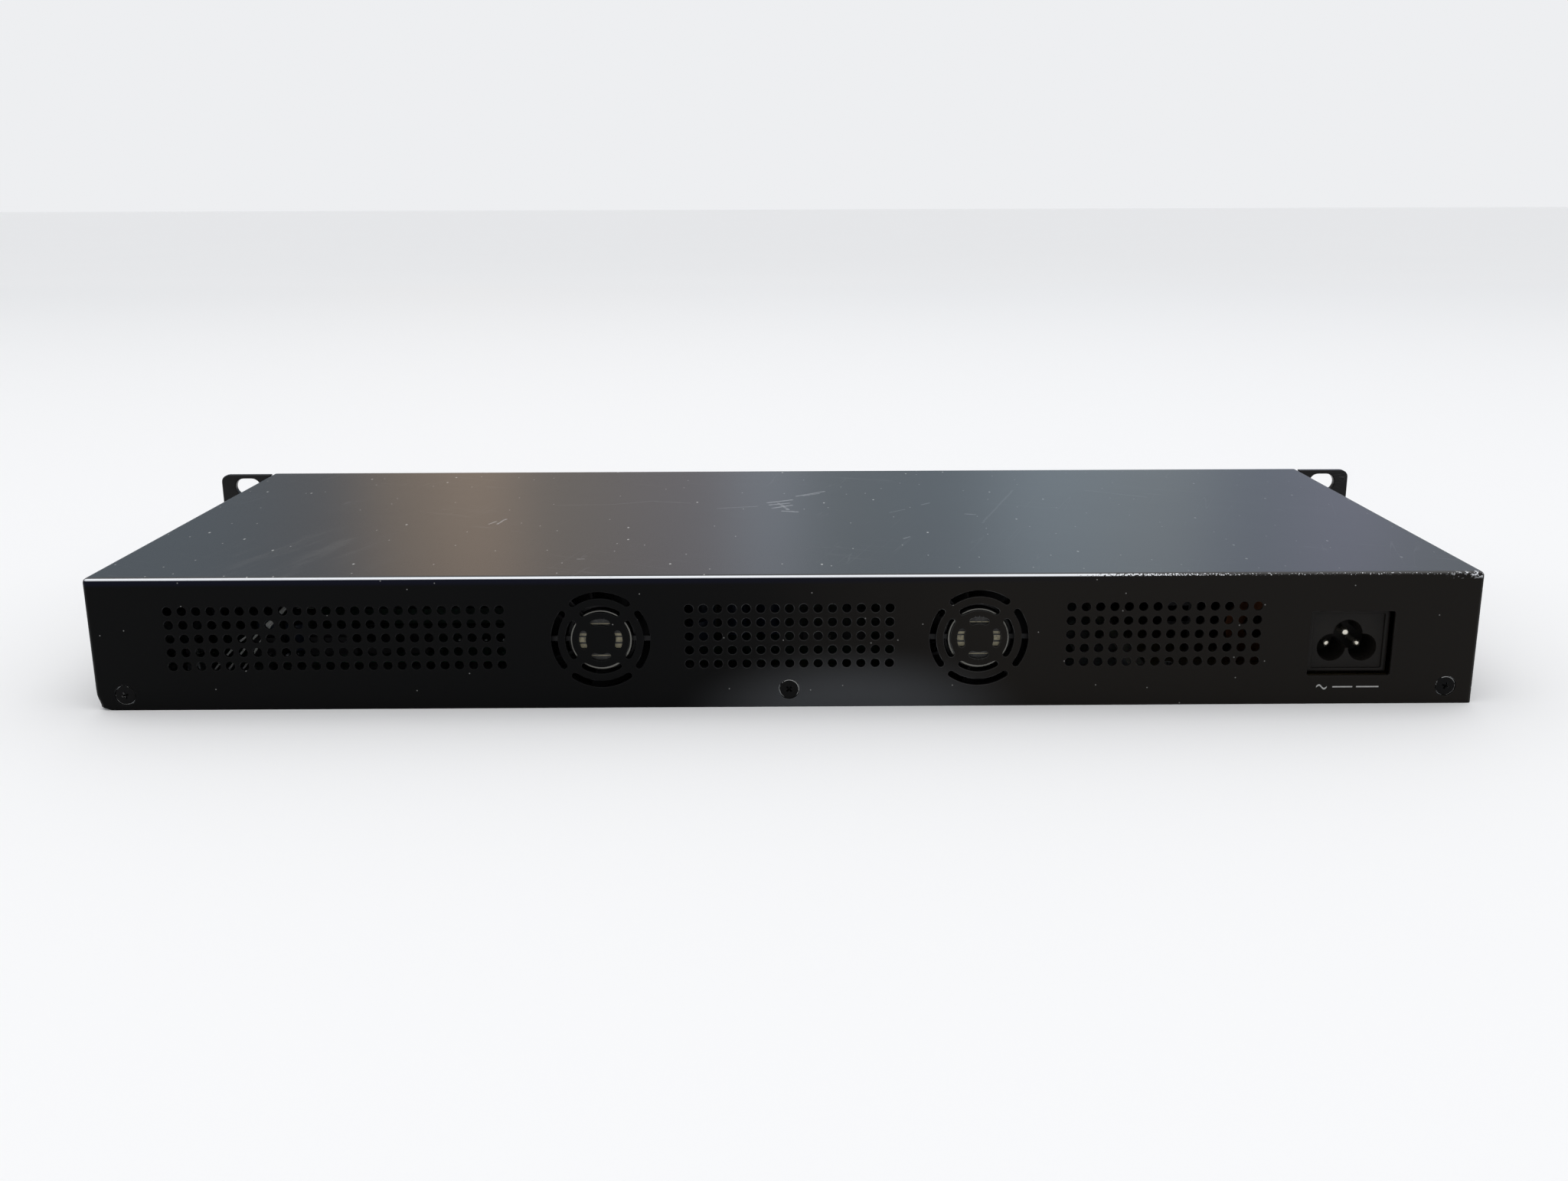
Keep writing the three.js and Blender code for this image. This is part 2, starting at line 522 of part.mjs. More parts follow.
/** Place, radius and recess of the live, neutral and earth pins. */
const mainsPins = () =>
  [{ ...LINE_PIN, dx: -LINE_PIN.dx }, LINE_PIN, EARTH_PIN].map(({ dx, dz, radius, recess }) => [
    INLET_X + dx,
    INLET_Z + dz,
    radius,
    recess,
  ]);

/** One mains pin, with a rounded tip, running out of the back of the inlet. */
function mainsPin([x, z, radius, recess]) {
  const [tip, end] = [BACK + INLET_RECESS + recess, BACK + INLET_RECESS + INLET_DEPTH + 1.5];
  return join(rodY(x, z, tip, tip + 0.7, radius * 0.55, 12, radius), rodY(x, z, tip + 0.7, end, radius, 12));
}

/** A printed circuit board with clearance holes for its screws. */
function board({ x0, x1, y0, y1 }, screws) {
  const sheet = toSolid(block(x0, x1, y0, y1, BOARD_UNDERSIDE, BOARD_TOP));
  return cut(sheet, ...screws.map(([x, y]) => rodZ(x, y, BOARD_UNDERSIDE - 1, BOARD_TOP + 1, 1.8, 8)));
}

/** The insulating sheet between the tray and the power supply board. */
function psuInsulator() {
  const { x0, x1, y0, y1 } = PSU_BOARD;
  const sheet = toSolid(block(x0 - 2, x1 + 1, y0 + 3, y1 + 2, TRAY_SHEET + GAP, TRAY_SHEET + GAP + 0.4));
  return cut(sheet, ...PSU_BOARD_SCREWS.map(([x, y]) => rodZ(x, y, 0, 4, STANDOFF_RADIUS + 0.4, 8)));
}

/** The switching transformer: a wound core between two ferrite ends. */
function psuTransformer() {
  const [x, y] = [176, -14];
  const core = centredBlock(x, 30, y - 6, y + 6, ON_BOARD + 3, ON_BOARD + 24);
  const bobbin = centredBlock(x, 24, y - 13, y + 13, ON_BOARD, ON_BOARD + 3.5);
  const winding = centredBlock(x, 20, y - 11, y + 11, ON_BOARD + 3, ON_BOARD + 21);
  return join(core, bobbin, winding);
}

/** The aluminium plate that cools the power transistors. */
function psuHeatsink() {
  const [x, y0, y1] = [136, -56, 6];
  const web = block(x, x + 3, y0, y1, ON_BOARD, ON_BOARD + 25);
  const fins = [0, 1, 2].map((k) => block(x - 7, x + 1, y0, y1, ON_BOARD + 9 + k * 7, ON_BOARD + 10.5 + k * 7));
  return join(web, ...fins);
}

/** The mains filter choke: a wound ring standing on its base. */
function psuChoke() {
  const [x, y, z] = [156, -60, ON_BOARD + 12];
  const ring = cut(toSolid(rodY(x, z, y - 6, y + 6, 10.5, 16)), rodY(x, z, y - 7, y + 7, 4.5, 16));
  return ring.add(toSolid(centredBlock(x, 20, y - 7, y + 7, ON_BOARD, ON_BOARD + 2.6)));
}

/** A capacitor can standing on a board, with its stepped rim. */
const capacitor = (x, y, radius, height) =>
  join(
    rodZ(x, y, ON_BOARD, ON_BOARD + height, radius, 20),
    rodZ(x, y, ON_BOARD + height - 0.5, ON_BOARD + height + 0.4, radius - 0.8, 20),
  );

/** A round cable along a smooth route, with a plug moulded at each end. */
function harness(route, radius, plugs) {
  const path = new THREE.CatmullRomCurve3(route.map(([x, y, z]) => new THREE.Vector3(x, y, z)));
  const tube = new THREE.ExtrudeGeometry(polygon(0, 0, radius, 8), { steps: 14, bevelEnabled: false, extrudePath: path });
  return join(tube, ...plugs);
}

/** The low-voltage cable from the power supply to the main board. */
function dcHarness() {
  const z = ON_BOARD + 4;
  const route = [[150, 30, z], [147, 44, z + 3], [128, 54, z + 6], [106, 46, z + 4], [94, 30, z]];
  const plug = ([x, y]) => centredBlock(x, 14, y - 5, y + 3, ON_BOARD, ON_BOARD + 8);
  return harness(route, 2.4, [plug([150, 28]), plug([92, 28])]);
}

/** A fan's cable, from its frame to a plug on the main board. */
function fanHarness(x) {
  const z = ON_BOARD + 3;
  const [startX, startY] = [x - 22.5, FAN_FRONT - 6];
  const route = [[startX, startY, 16], [startX - 1.5, startY + 8, 15], [startX - 1, startY + 18, z + 2], [startX + 4, -40, z]];
  return harness(route, 1.3, [
    centredBlock(startX + 4, 8, -44, -38, ON_BOARD, ON_BOARD + 6),
    block(startX - 1.3, x - FAN_SIZE / 2 - GAP, startY - 1.5, startY + 1.5, 14.5, 17.5),
  ]);
}

// ---------------------------------------------------------------- main board parts
/** A shielded row of network jacks, each with its latch notch below, facing the front. */
function jackBlock(x, count) {
  const width = JACK.pitch * count + JACK.wall;
  const [z0, z1] = [ON_BOARD, ON_BOARD + JACK.height];
  const shell = toSolid(centredBlock(x, width, PORT_FACE - JACK.depth, PORT_FACE, z0, z1));
  const sockets = Array.from({ length: count }, (_, i) => {
    const cx = x + (i - (count - 1) / 2) * JACK.pitch;
    const floor = z0 + JACK.floor + JACK_NOTCH.height;
    const [y0, y1] = [PORT_FACE - JACK.cavity, PORT_FACE + 1];
    return join(
      centredBlock(cx, JACK.openWidth, y0, y1, floor, floor + JACK.openHeight),
      centredBlock(cx, JACK_NOTCH.width, y0, y1, z0 + JACK.floor, floor + 1),
    );
  });
  return sockets.reduce((rest, socket) => rest.subtract(socket), shell);
}

/** Two stacked USB sockets, each with its contact tongue. */
function usbPort() {
  const { x, width, height, depth, cavity, openWidth, openHeight } = USB;
  const shell = toSolid(centredBlock(x, width, PORT_FACE - depth, PORT_FACE, ON_BOARD, ON_BOARD + height));
  const tongueHeight = 1.84;
  return [1.4, 9.1].reduce((rest, lift) => {
    const z = ON_BOARD + lift;
    const socket = toSolid(centredBlock(x, openWidth, PORT_FACE - cavity, PORT_FACE + 1, z, z + openHeight));
    const tongueTop = z + openHeight - 0.7;
    const tongue = centredBlock(x, 11, PORT_FACE - cavity - 1, PORT_FACE - 1.2, tongueTop - tongueHeight, tongueTop);
    return rest.subtract(socket).add(toSolid(tongue));
  }, shell);
}

/** The recessed reset button, with the collar that keeps it behind the front wall. */
function resetButton() {
  const { x, z, radius, collar } = RESET;
  const tip = FASCIA_FRONT - 0.9;
  return join(rodY(x, z, WALL_BACK - 4.2, tip, radius, 12), rodY(x, z, WALL_BACK - 2.6, WALL_BACK - 1.4, collar, 12));
}

/** The small switch that the reset button presses. */
function resetSwitch() {
  const face = WALL_BACK - 6;
  const body = centredBlock(RESET.x, 6.2, face - 4, face, ON_BOARD, RESET.z + 3.2);
  return join(body, rodY(RESET.x, RESET.z, face - 1, face + 0.4, 1.4, 10));
}

const PROCESSOR = { x: -66, y: 18, size: 27, top: ON_BOARD + 2.4 };

/** The processor package on the main board. */
const processor = () =>
  toSolid(centredBlock(PROCESSOR.x, PROCESSOR.size, PROCESSOR.y - 13.5, PROCESSOR.y + 13.5, ON_BOARD, PROCESSOR.top));

/** The finned heatsink on the processor. */
function processorHeatsink() {
  const size = 46;
  const fins = 9;
  const [x0, y0] = [PROCESSOR.x - size / 2, PROCESSOR.y - size / 2];
  const base = PROCESSOR.top + GAP;
  const plate = block(x0, x0 + size, y0, y0 + size, base, base + 3);
  const pitch = (size - 1.2) / (fins - 1);
  const rows = Array.from({ length: fins }, (_, i) =>
    block(x0 + i * pitch, x0 + i * pitch + 1.2, y0, y0 + size, base + 2, base + 18),
  );
  return join(plate, ...rows);
}

/** The memory module lying in its socket. */
function memoryModule() {
  const [x0, x1, y0] = [-168, -100.4, -14];
  const card = block(x0, x1, y0, y0 + 30, ON_BOARD + 3.6, ON_BOARD + 4.8);
  const socket = block(x0 - 3, x1 + 3, y0 - 5, y0 + 2, ON_BOARD, ON_BOARD + 5.6);
  const chips = [0, 1, 2, 3].map((k) =>
    block(x0 + 5 + k * 15.6, x0 + 16 + k * 15.6, y0 + 11, y0 + 23, ON_BOARD + 4.5, ON_BOARD + 5.9),
  );
  return join(card, socket, ...chips);
}

/** The clock battery in its round holder. */
const coinCell = () => join(rodZ(-182, 44, ON_BOARD, ON_BOARD + 2, 11.5, 24), rodZ(-182, 44, ON_BOARD + 1, ON_BOARD + 4, 10, 24));

// ---------------------------------------------------------------- assembly
const appliance = new THREE.Group();

/** Adds a solid to the appliance as a named mesh. */
function place(name, solid, material) {
  const mesh = new THREE.Mesh(toGeometry(solid), material);
  mesh.name = name;
  appliance.add(mesh);
}

place("top_cover", topCover(), PAINTED_STEEL);
place("base_tray", baseTray(), TRAY_STEEL);
place("front_fascia", frontFascia(), FASCIA_PLASTIC);
place("status_light_pipe", statusLightPipe(), CLEAR_PLASTIC);

for (const [label, side] of [["left", -1], ["right", 1]]) {
  place(`rack_ear_${label}`, rackEar(side), EAR_PAINT);
  place(`side_screw_${label}`, sideScrew(side), BLACK_SCREW);
  EAR_SCREWS.forEach((spot, i) => place(`ear_screw_${label}_${i + 1}`, earScrew(side, spot), BLACK_SCREW));
}
for (const [label, spot] of Object.entries(REAR_SCREWS)) place(`rear_screw_${label}`, rearScrew(spot), BLACK_SCREW);

for (const [label, x] of Object.entries(FANS)) {
  place(`fan_${label}_frame`, fanFrame(x), FAN_PLASTIC);
  place(`fan_${label}_impeller`, fanImpeller(x), FAN_PLASTIC);
  place(`fan_${label}_label`, fanLabel(x), LABEL_PAPER);
  place(`fan_${label}_bracket`, fanBracket(x), TRAY_STEEL);
  place(`fan_${label}_cable`, fanHarness(x), CABLE_JACKET);
  fanScrewPlaces(x).forEach((spot, i) => place(`fan_${label}_screw_${i + 1}`, fanScrew(spot), ZINC_SCREW));
}

place("mains_inlet", mainsInlet(), INLET_PLASTIC);
["live", "neutral", "earth"].forEach((label, i) => place(`mains_pin_${label}`, mainsPin(mainsPins()[i]), PIN_METAL));
place("psu_board", board(PSU_BOARD, PSU_BOARD_SCREWS), POWER_LAMINATE);
place("psu_insulator", psuInsulator(), INSULATOR_SHEET);
place("psu_transformer", psuTransformer(), COIL_TAPE);
place("psu_heatsink", psuHeatsink(), ALUMINIUM);
place("psu_choke", psuChoke(), COIL_TAPE);
place("psu_bulk_capacitor", capacitor(201, -42, 9, 28), CAN_SLEEVE);
place("psu_output_capacitor", capacitor(170, 20, 5, 20), CAN_SLEEVE);
place("dc_cable", dcHarness(), CABLE_JACKET);
PSU_BOARD_SCREWS.forEach((spot, i) => place(`psu_screw_${i + 1}`, boardScrew(spot), ZINC_SCREW));

place("main_board", board(MAIN_BOARD, MAIN_BOARD_SCREWS), MAIN_LAMINATE);
MAIN_BOARD_SCREWS.forEach((spot, i) => place(`board_screw_${i + 1}`, boardScrew(spot), ZINC_SCREW));
place("processor", processor(), CHIP_BLACK);
place("processor_heatsink", processorHeatsink(), ALUMINIUM);
place("memory_module", memoryModule(), MAIN_LAMINATE);
place("coin_cell", coinCell(), PORT_SHIELD);
for (const [label, x] of Object.entries(LAN_BLOCKS)) place(`lan_port_block_${label}`, jackBlock(x, LAN_PORTS), PORT_SHIELD);
place("console_port", jackBlock(CONSOLE_X, 1), PORT_SHIELD);
place("usb_port", usbPort(), PORT_SHIELD);
place("reset_button", resetButton(), INLET_PLASTIC);
place("reset_switch", resetSwitch(), CHIP_BLACK);

export default appliance;
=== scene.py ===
"""Looks of a rack-mount firewall appliance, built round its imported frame.

Every form is drawn in millimetres in the frame's own axes: +X to the right seen from the back, +Y towards
the front with the network sockets, +Z up. A finished piece is turned into metres when it is handed over.
"""

import logging
import math
from dataclasses import dataclass, field
from enum import Enum
from typing import Any, Callable, Iterable, Sequence

import bmesh
import bpy
from mathutils import Matrix, Vector

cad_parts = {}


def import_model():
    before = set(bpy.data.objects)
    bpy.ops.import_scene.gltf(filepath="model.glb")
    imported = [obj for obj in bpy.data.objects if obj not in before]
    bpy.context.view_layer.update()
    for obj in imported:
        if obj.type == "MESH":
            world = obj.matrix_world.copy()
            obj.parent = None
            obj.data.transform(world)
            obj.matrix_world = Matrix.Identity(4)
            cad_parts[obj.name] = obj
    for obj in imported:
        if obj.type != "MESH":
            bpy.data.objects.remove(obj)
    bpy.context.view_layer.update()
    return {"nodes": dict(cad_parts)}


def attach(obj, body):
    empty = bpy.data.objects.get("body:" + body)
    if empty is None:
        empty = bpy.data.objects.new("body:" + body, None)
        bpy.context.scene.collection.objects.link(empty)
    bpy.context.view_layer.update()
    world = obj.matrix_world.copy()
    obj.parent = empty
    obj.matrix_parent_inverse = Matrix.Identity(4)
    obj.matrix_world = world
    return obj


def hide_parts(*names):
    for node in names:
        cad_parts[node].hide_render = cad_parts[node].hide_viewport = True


LOG = logging.getLogger("appliance")
MM = 0.001
CHASSIS = "chassis"
Point = tuple[float, float]
Colour = tuple[float, float, float]


# ---------------------------------------------------------------- shader arithmetic
class Wire:
    """A shader socket that takes part in Python arithmetic."""

    def __init__(self, kit: "NodeKit", socket: bpy.types.NodeSocket) -> None:
        """Wraps one output socket.

        Args:
            kit: The node kit that the socket's node belongs to.
            socket: The output socket.
        """
        self.kit = kit
        self.socket = socket

    def _maths(self, operation: str, *values: Any, clamp: bool = False) -> "Wire":
        """Adds one Math node.

        Args:
            operation: The Math node's operation.
            values: Its inputs, in order.
            clamp: Whether the result is held between 0 and 1.

        Returns:
            The result.
        """
        settings = {"operation": operation, "use_clamp": clamp}
        return self.kit.node("ShaderNodeMath", settings, dict(enumerate(values))).out()

    def __add__(self, other: Any) -> "Wire":
        """Adds."""
        return self._maths("ADD", self, other)

    __radd__ = __add__

    def __mul__(self, other: Any) -> "Wire":
        """Multiplies."""
        return self._maths("MULTIPLY", self, other)

    __rmul__ = __mul__

    def __sub__(self, other: Any) -> "Wire":
        """Takes other away."""
        return self._maths("SUBTRACT", self, other)

    def __rsub__(self, other: Any) -> "Wire":
        """Takes this away from other."""
        return self._maths("SUBTRACT", other, self)

    def __truediv__(self, other: Any) -> "Wire":
        """Divides by other."""
        return self._maths("DIVIDE", self, other)

    def __pow__(self, other: Any) -> "Wire":
        """Raises to a power."""
        return self._maths("POWER", self, other)

    def __abs__(self) -> "Wire":
        """Gives the size without its sign."""
        return self._maths("ABSOLUTE", self)

    def above(self, limit: Any) -> "Wire":
        """Gives 1 where the value is over the limit, else 0."""
        return self._maths("GREATER_THAN", self, limit)

    def most(self, other: Any) -> "Wire":
        """Gives the larger of the two."""
        return self._maths("MAXIMUM", self, other)

    def least(self, other: Any) -> "Wire":
        """Gives the smaller of the two."""
        return self._maths("MINIMUM", self, other)

    def sine(self) -> "Wire":
        """Gives the sine."""
        return self._maths("SINE", self)

    def held(self) -> "Wire":
        """Gives the value held between 0 and 1."""
        return self._maths("ADD", self, 0.0, clamp=True)

    def ramp(self, low: float, high: float) -> "Wire":
        """Rises smoothly from 0 at low to 1 at high.

        Args:
            low: The value that gives 0.
            high: The value that gives 1. It may be the lower of the two.

        Returns:
            The smooth step.
        """
        rising = low < high
        node = self.kit.node(
            "ShaderNodeMapRange",
            {"interpolation_type": "SMOOTHSTEP"},
            {
                "Value": self,
                "From Min": min(low, high),
                "From Max": max(low, high),
                "To Min": 0.0 if rising else 1.0,
                "To Max": 1.0 if rising else 0.0,
            },
        )
        return node.out("Result")


@dataclass
class Built:
    """A node that has been added, and the way to its outputs."""

    kit: "NodeKit"
    node: bpy.types.Node

    def out(self, name: str | int = 0) -> Wire:
        """Gives one output.

        Args:
            name: The output's name or place.

        Returns:
            The output as a wire.
        """
        return Wire(self.kit, self.node.outputs[name])


class NodeKit:
    """Builds one material's nodes."""

    def __init__(self, name: str) -> None:
        """Starts an empty material.

        Args:
            name: The material's name.
        """
        self.material = bpy.data.materials.new(name)
        self.material.use_nodes = True
        self.tree = self.material.node_tree
        self.tree.nodes.clear()

    def node(self, kind: str, settings: dict[str, Any] | None = None, sockets: dict[Any, Any] | None = None) -> Built:
        """Adds any node.

        Args:
            kind: The node's type.
            settings: Its settings. The key "stops" holds a colour ramp's stops.
            sockets: Values or wires for its inputs, by name or place.

        Returns:
            The node.
        """
        made = self.tree.nodes.new(kind)
        for key, value in (settings or {}).items():
            if key == "stops":
                elements = made.color_ramp.elements
                while len(elements) < len(value):
                    elements.new(0.5)
                for element, (place, colour) in zip(elements, value):
                    element.position = place
                    element.color = (*colour, 1.0)
            else:
                setattr(made, key, value)
        for key, value in (sockets or {}).items():
            if isinstance(value, Wire):
                self.tree.links.new(value.socket, made.inputs[key])
            elif value is not None:
                made.inputs[key].default_value = value
        return Built(self, made)

    def place(self, scale: Sequence[float] = (1, 1, 1), turn: Sequence[float] = (0, 0, 0)) -> Wire:
        """Gives the object's coordinates in millimetres, turned and scaled.

        Args:
            scale: The scale along each axis.
            turn: The turn about each axis, in degrees.

        Returns:
            A vector.
        """
        source = self.node("ShaderNodeTexCoord").out("Object")
        if any(turn):
            back = [-math.radians(a) for a in turn]
            source = self.node("ShaderNodeMapping", {}, {"Vector": source, "Rotation": back}).out()
        sockets = {"Vector": source, "Scale": [s / MM for s in scale]}
        return self.node("ShaderNodeMapping", {}, sockets).out()

    def axes(self) -> tuple[Wire, Wire, Wire]:
        """Gives x, y and z in millimetres."""
        parts = self.node("ShaderNodeSeparateXYZ", {}, {0: self.place()})
        return parts.out("X"), parts.out("Y"), parts.out("Z")

    def facing(self) -> tuple[Wire, Wire, Wire]:
        """Gives the way that the surface faces, as x, y and z."""
        normal = self.node("ShaderNodeTexCoord").out("Normal")
        parts = self.node("ShaderNodeSeparateXYZ", {}, {0: normal})
        return parts.out("X"), parts.out("Y"), parts.out("Z")

    def noise(
        self,
        size: float,
        detail: float = 3.0,
        stretch: Sequence[float] = (1, 1, 1),
        turn: Sequence[float] = (0, 0, 0),
        rough: float = 0.5,
    ) -> Wire:
        """Gives cloudy noise from 0 to 1.

        Args:
            size: The size of the clouds, in millimetres.
            detail: How many finer layers are added.
            stretch: How much longer the clouds are along each axis.
            turn: The turn of the stretched clouds, in degrees.
            rough: The strength of the finer layers.

        Returns:
            The noise.
        """
        vector = self.place([1 / s for s in stretch], turn)
        sockets = {"Vector": vector, "Scale": 1 / size, "Detail": detail, "Roughness": rough}
        return self.node("ShaderNodeTexNoise", {}, sockets).out(0)

    def cells(self, size: float, stretch: Sequence[float] = (1, 1, 1), flat: Sequence[float] | None = None) -> Built:
        """Gives a pattern of irregular cells.

        Args:
            size: The size of a cell, in millimetres.
            stretch: How much longer the cells are along each axis.
            flat: For a flat pattern, the turn in degrees that lays the surface in the x-y plane.

        Returns:
            The node, with Distance and Color outputs.
        """
        sockets = {"Vector": self.place([1 / s for s in stretch], flat or (0, 0, 0)), "Scale": 1 / size}
        settings = {"voronoi_dimensions": "3D" if flat is None else "2D"}
        return self.node("ShaderNodeTexVoronoi", settings, sockets)

    def hairlines(self, size: float, turn: float, width: float, length: float = 14.0) -> Wire:
        """Gives thin broken lines, such as scratches, on faces that look up or down.

        Args:
            size: The spacing of the lines, in millimetres.
            turn: Their direction about Z, in degrees.
            width: Their width, from 0 to 1.
            length: How much longer than wide the clouds behind them are.

        Returns:
            A mask.
        """
        cloud = self.noise(size, 2.0, (length, 1, 1), (0, 0, turn))
        return abs(cloud - 0.5).ramp(width, 0.0)

    def specks(
        self,
        size: float,
        radius: float,
        share: float,
        stretch: Sequence[float] = (1, 1, 1),
        flat: Sequence[float] | None = None,
    ) -> Wire:
        """Gives scattered round specks.

        Args:
            size: The spacing of the specks, in millimetres.
            radius: Their radius, as a share of the spacing.
            share: The share of the places that hold one.
            stretch: How much longer they are along each axis.
            flat: As for cells.

        Returns:
            A mask.
        """
        spots = self.cells(size, stretch, flat)
        chance = self.node("ShaderNodeSeparateColor", {}, {0: spots.out("Color")}).out(0)
        return spots.out("Distance").ramp(radius, radius * 0.5) * chance.above(1 - share)

    def blend(self, factor: Any, first: Any, second: Any) -> Wire:
        """Mixes two colours.

        Args:
            factor: 0 gives the first and 1 the second.
            first: A colour or a wire.
            second: A colour or a wire.

        Returns:
            The mixed colour.
        """
        colours = [(*c, 1.0) if isinstance(c, tuple) else c for c in (first, second)]
        sockets = {0: factor, 6: colours[0], 7: colours[1]}
        return self.node("ShaderNodeMix", {"data_type": "RGBA"}, sockets).out(2)

    def bump(self, height: Wire, depth: float, below: Wire | None = None) -> Wire:
        """Turns a height into a normal.

        Args:
            height: The height, from 0 to 1.
            depth: The depth that 1 stands for, in millimetres.
            below: A normal that this one is laid over.

        Returns:
            The normal.
        """
        sockets = {"Height": height, "Distance": depth * MM, "Strength": 1.0, "Normal": below}
        return self.node("ShaderNodeBump", {}, sockets).out("Normal")

    def surface(self, **sockets: Any) -> bpy.types.Material:
        """Ends the material with a Principled surface.

        Args:
            sockets: Values or wires, by socket name with _ for a space.

        Returns:
            The material.
        """
        named = {
            key.replace("_", " "): (*value, 1.0) if isinstance(value, tuple) and len(value) == 3 else value
            for key, value in sockets.items()
        }
        shader = self.node("ShaderNodeBsdfPrincipled", {}, named).out("BSDF")
        self.node("ShaderNodeOutputMaterial", {}, {"Surface": shader})
        return self.material


# ---------------------------------------------------------------- finishes
class Finish:
    """A surface finish that is built once and shared."""

    name: str

    def build(self) -> bpy.types.Material:
        """Gives the material, building it on first use."""
        full_name = self.name + "_finish"
        return bpy.data.materials.get(full_name) or self.dress(NodeKit(full_name))

    def dress(self, kit: NodeKit) -> bpy.types.Material:
        """Builds the material's nodes."""
        raise NotImplementedError


@dataclass(frozen=True)
class WornPaint(Finish):
    """The cover's satin paint, scratched and dusty on top and worn through at the right back corner, with painted
    light: a highlight along the back bend, lighter hole rims and reflections on the back.
    """

    name: str = "cover_paint"
    back: float = -87.5
    top: float = 43.5
    side: float = 220.0
    cool: Colour = (0.0016, 0.0017, 0.0018)
    warm: Colour = (0.0082, 0.0071, 0.0060)
    blue: Colour = (0.0030, 0.0036, 0.0110)
    film: Colour = (0.0400, 0.0420, 0.0450)
    metal: Colour = (0.78, 0.80, 0.83)
    primer: Colour = (0.42, 0.43, 0.44)
    dust: Colour = (0.66, 0.66, 0.64)
    ink: Colour = (0.36, 0.36, 0.35)
    mark_place: Point = (169.5, 5.7)
    scratches: tuple[tuple[float, float, float, float, float, float], ...] = (
        (-7, 22, 2, 27, 0.8, 1.0),
        (-6, 18, 1, 21, 0.8, 0.9),
        (-5, 12, 2, 17, 0.8, 1.0),
        (-3, 21, 1, 9, 0.7, 0.7),
        (-1, 7, 4, 5, 0.9, 0.9),
        (4, 34, 15, 43, 0.7, 0.9),
        (7, 35, 13, 39, 0.6, 0.8),
        (-107.5, -13, -106, -9, 0.5, 1.0),
        (-104.5, -13, -103, -5, 0.5, 1.0),
        (-88, 19, -67, 20, 0.5, 0.20),
        (-67, 20, -52, 26, 0.5, 0.26),
        (-52, 26, -37, 22, 0.5, 0.26),
        (-26, 12, -11, 15.5, 0.6, 0.40),
        (39, 3.5, 45, 9, 0.5, 0.32),
        (52, 17, 55, 20, 0.6, 0.45),
        (67, 0.5, 70, -1, 0.6, 0.50),
        (41, -38.5, 43, -36, 0.5, 0.60),
        (71, -15, 91, 44, 0.5, 0.16),
        (120, 43, 141, 29, 0.5, 0.14),
        (-68, -65.5, -66, -65.2, 0.6, 0.6),
    )

    def mark(self, x: Wire, y: Wire, z: Wire) -> Wire:
        """Gives the printed mark below the inlet: an alternating-current wave between two rules.

        Args:
            x: The x coordinate, in millimetres.
            y: The y coordinate.
            z: The z coordinate.

        Returns:
            A mask.
        """
        across, up = x - self.mark_place[0], z - self.mark_place[1]

        def rule(start: float, end: float) -> Wire:
            """Gives a short straight rule."""
            return across.above(start) * (1 - across.above(end)) * abs(up).ramp(0.26, 0.18)

        wave = abs(up - (across * (2 * math.pi / 3.4)).sine() * 0.62).ramp(0.34, 0.22)
        wave = wave * across.above(0.0) * (1 - across.above(3.4))
        return (wave + rule(5.2, 11.6) + rule(12.8, 20.0)) * (y - self.back).ramp(0.3, 0.1)

    def scratched(self, kit: NodeKit, x: Wire, y: Wire, grain: Wire) -> Wire:
        """Gives the single scratches on the top.

        Args:
            kit: The material's nodes.
            x: The x coordinate, in millimetres.
            y: The y coordinate.
            grain: Fine noise that breaks the scratches up.

        Returns:
            A mask.
        """
        wander = (kit.noise(3.5, 2) - 0.5) * 1.6
        total: Wire | float = 0.0
        for x1, y1, x2, y2, width, strength in self.scratches:
            long, deep = x2 - x1, y2 - y1
            dx, dy = x - x1 + wander, y - y1 + wander
            along = ((dx * long + dy * deep) * (1 / (long * long + deep * deep))).held()
            off_x, off_y = dx - along * long, dy - along * deep
            line = (off_x * off_x + off_y * off_y).ramp(width * width, width * width * 0.2) * strength
            total = line.most(total)
        return total * (grain.ramp(0.30, 0.52) * 0.6 + 0.4)

    def dress(self, kit: NodeKit) -> bpy.types.Material:
        """Builds the material's nodes."""
        x, y, z = kit.axes()
        face_x, face_y, face_z = kit.facing()
        clouds = kit.noise(60, 3)
        grain = kit.noise(0.5, 2)
        fine = kit.noise(1.1, 3, rough=0.65)
        on_top = z.ramp(self.top - 0.9, self.top - 0.2)
        on_back = (y - self.back).ramp(0.5, 0.2)

        # a painted highlight: the bright line along the bend between top and back, which breaks up to the right; the
        # chips at the right corner and up its edge are real wear
        across = ((y - self.back) * (y - self.back) + (z - self.top) * (z - self.top)) ** 0.5
        share = x.ramp(112, 70) * 0.34 + x.ramp(160, 105) * 0.15 - x.ramp(-130, -216) * 0.10
        bend_highlight = across.ramp(0.93, 0.75) * (grain + share).ramp(0.60, 0.68)
        corner = x.ramp(self.side - 14, self.side - 4) * across.ramp(2.4, 0.8) * fine.ramp(0.54, 0.60)
        upright = x.ramp(self.side - 0.75, self.side - 0.35) * (y - self.back).ramp(1.3, 0.7)
        bare_and_highlight = bend_highlight.most(corner).most(upright * fine.ramp(0.62, 0.66) * 0.7)

        # painted highlight: the upper rims of the holes lighter and glossier, most of all in the middle field
        tilt = abs(face_y).ramp(0.985, 0.90) * on_back * (z - self.top + 1.8).ramp(0.2, -0.2)
        rims = tilt * (kit.noise(4, 2).ramp(0.42, 0.60) * face_z.ramp(0.1, -0.35) + 0.25)
        rims = rims * (0.25 + abs(x - 22).ramp(75, 20) * 0.75)
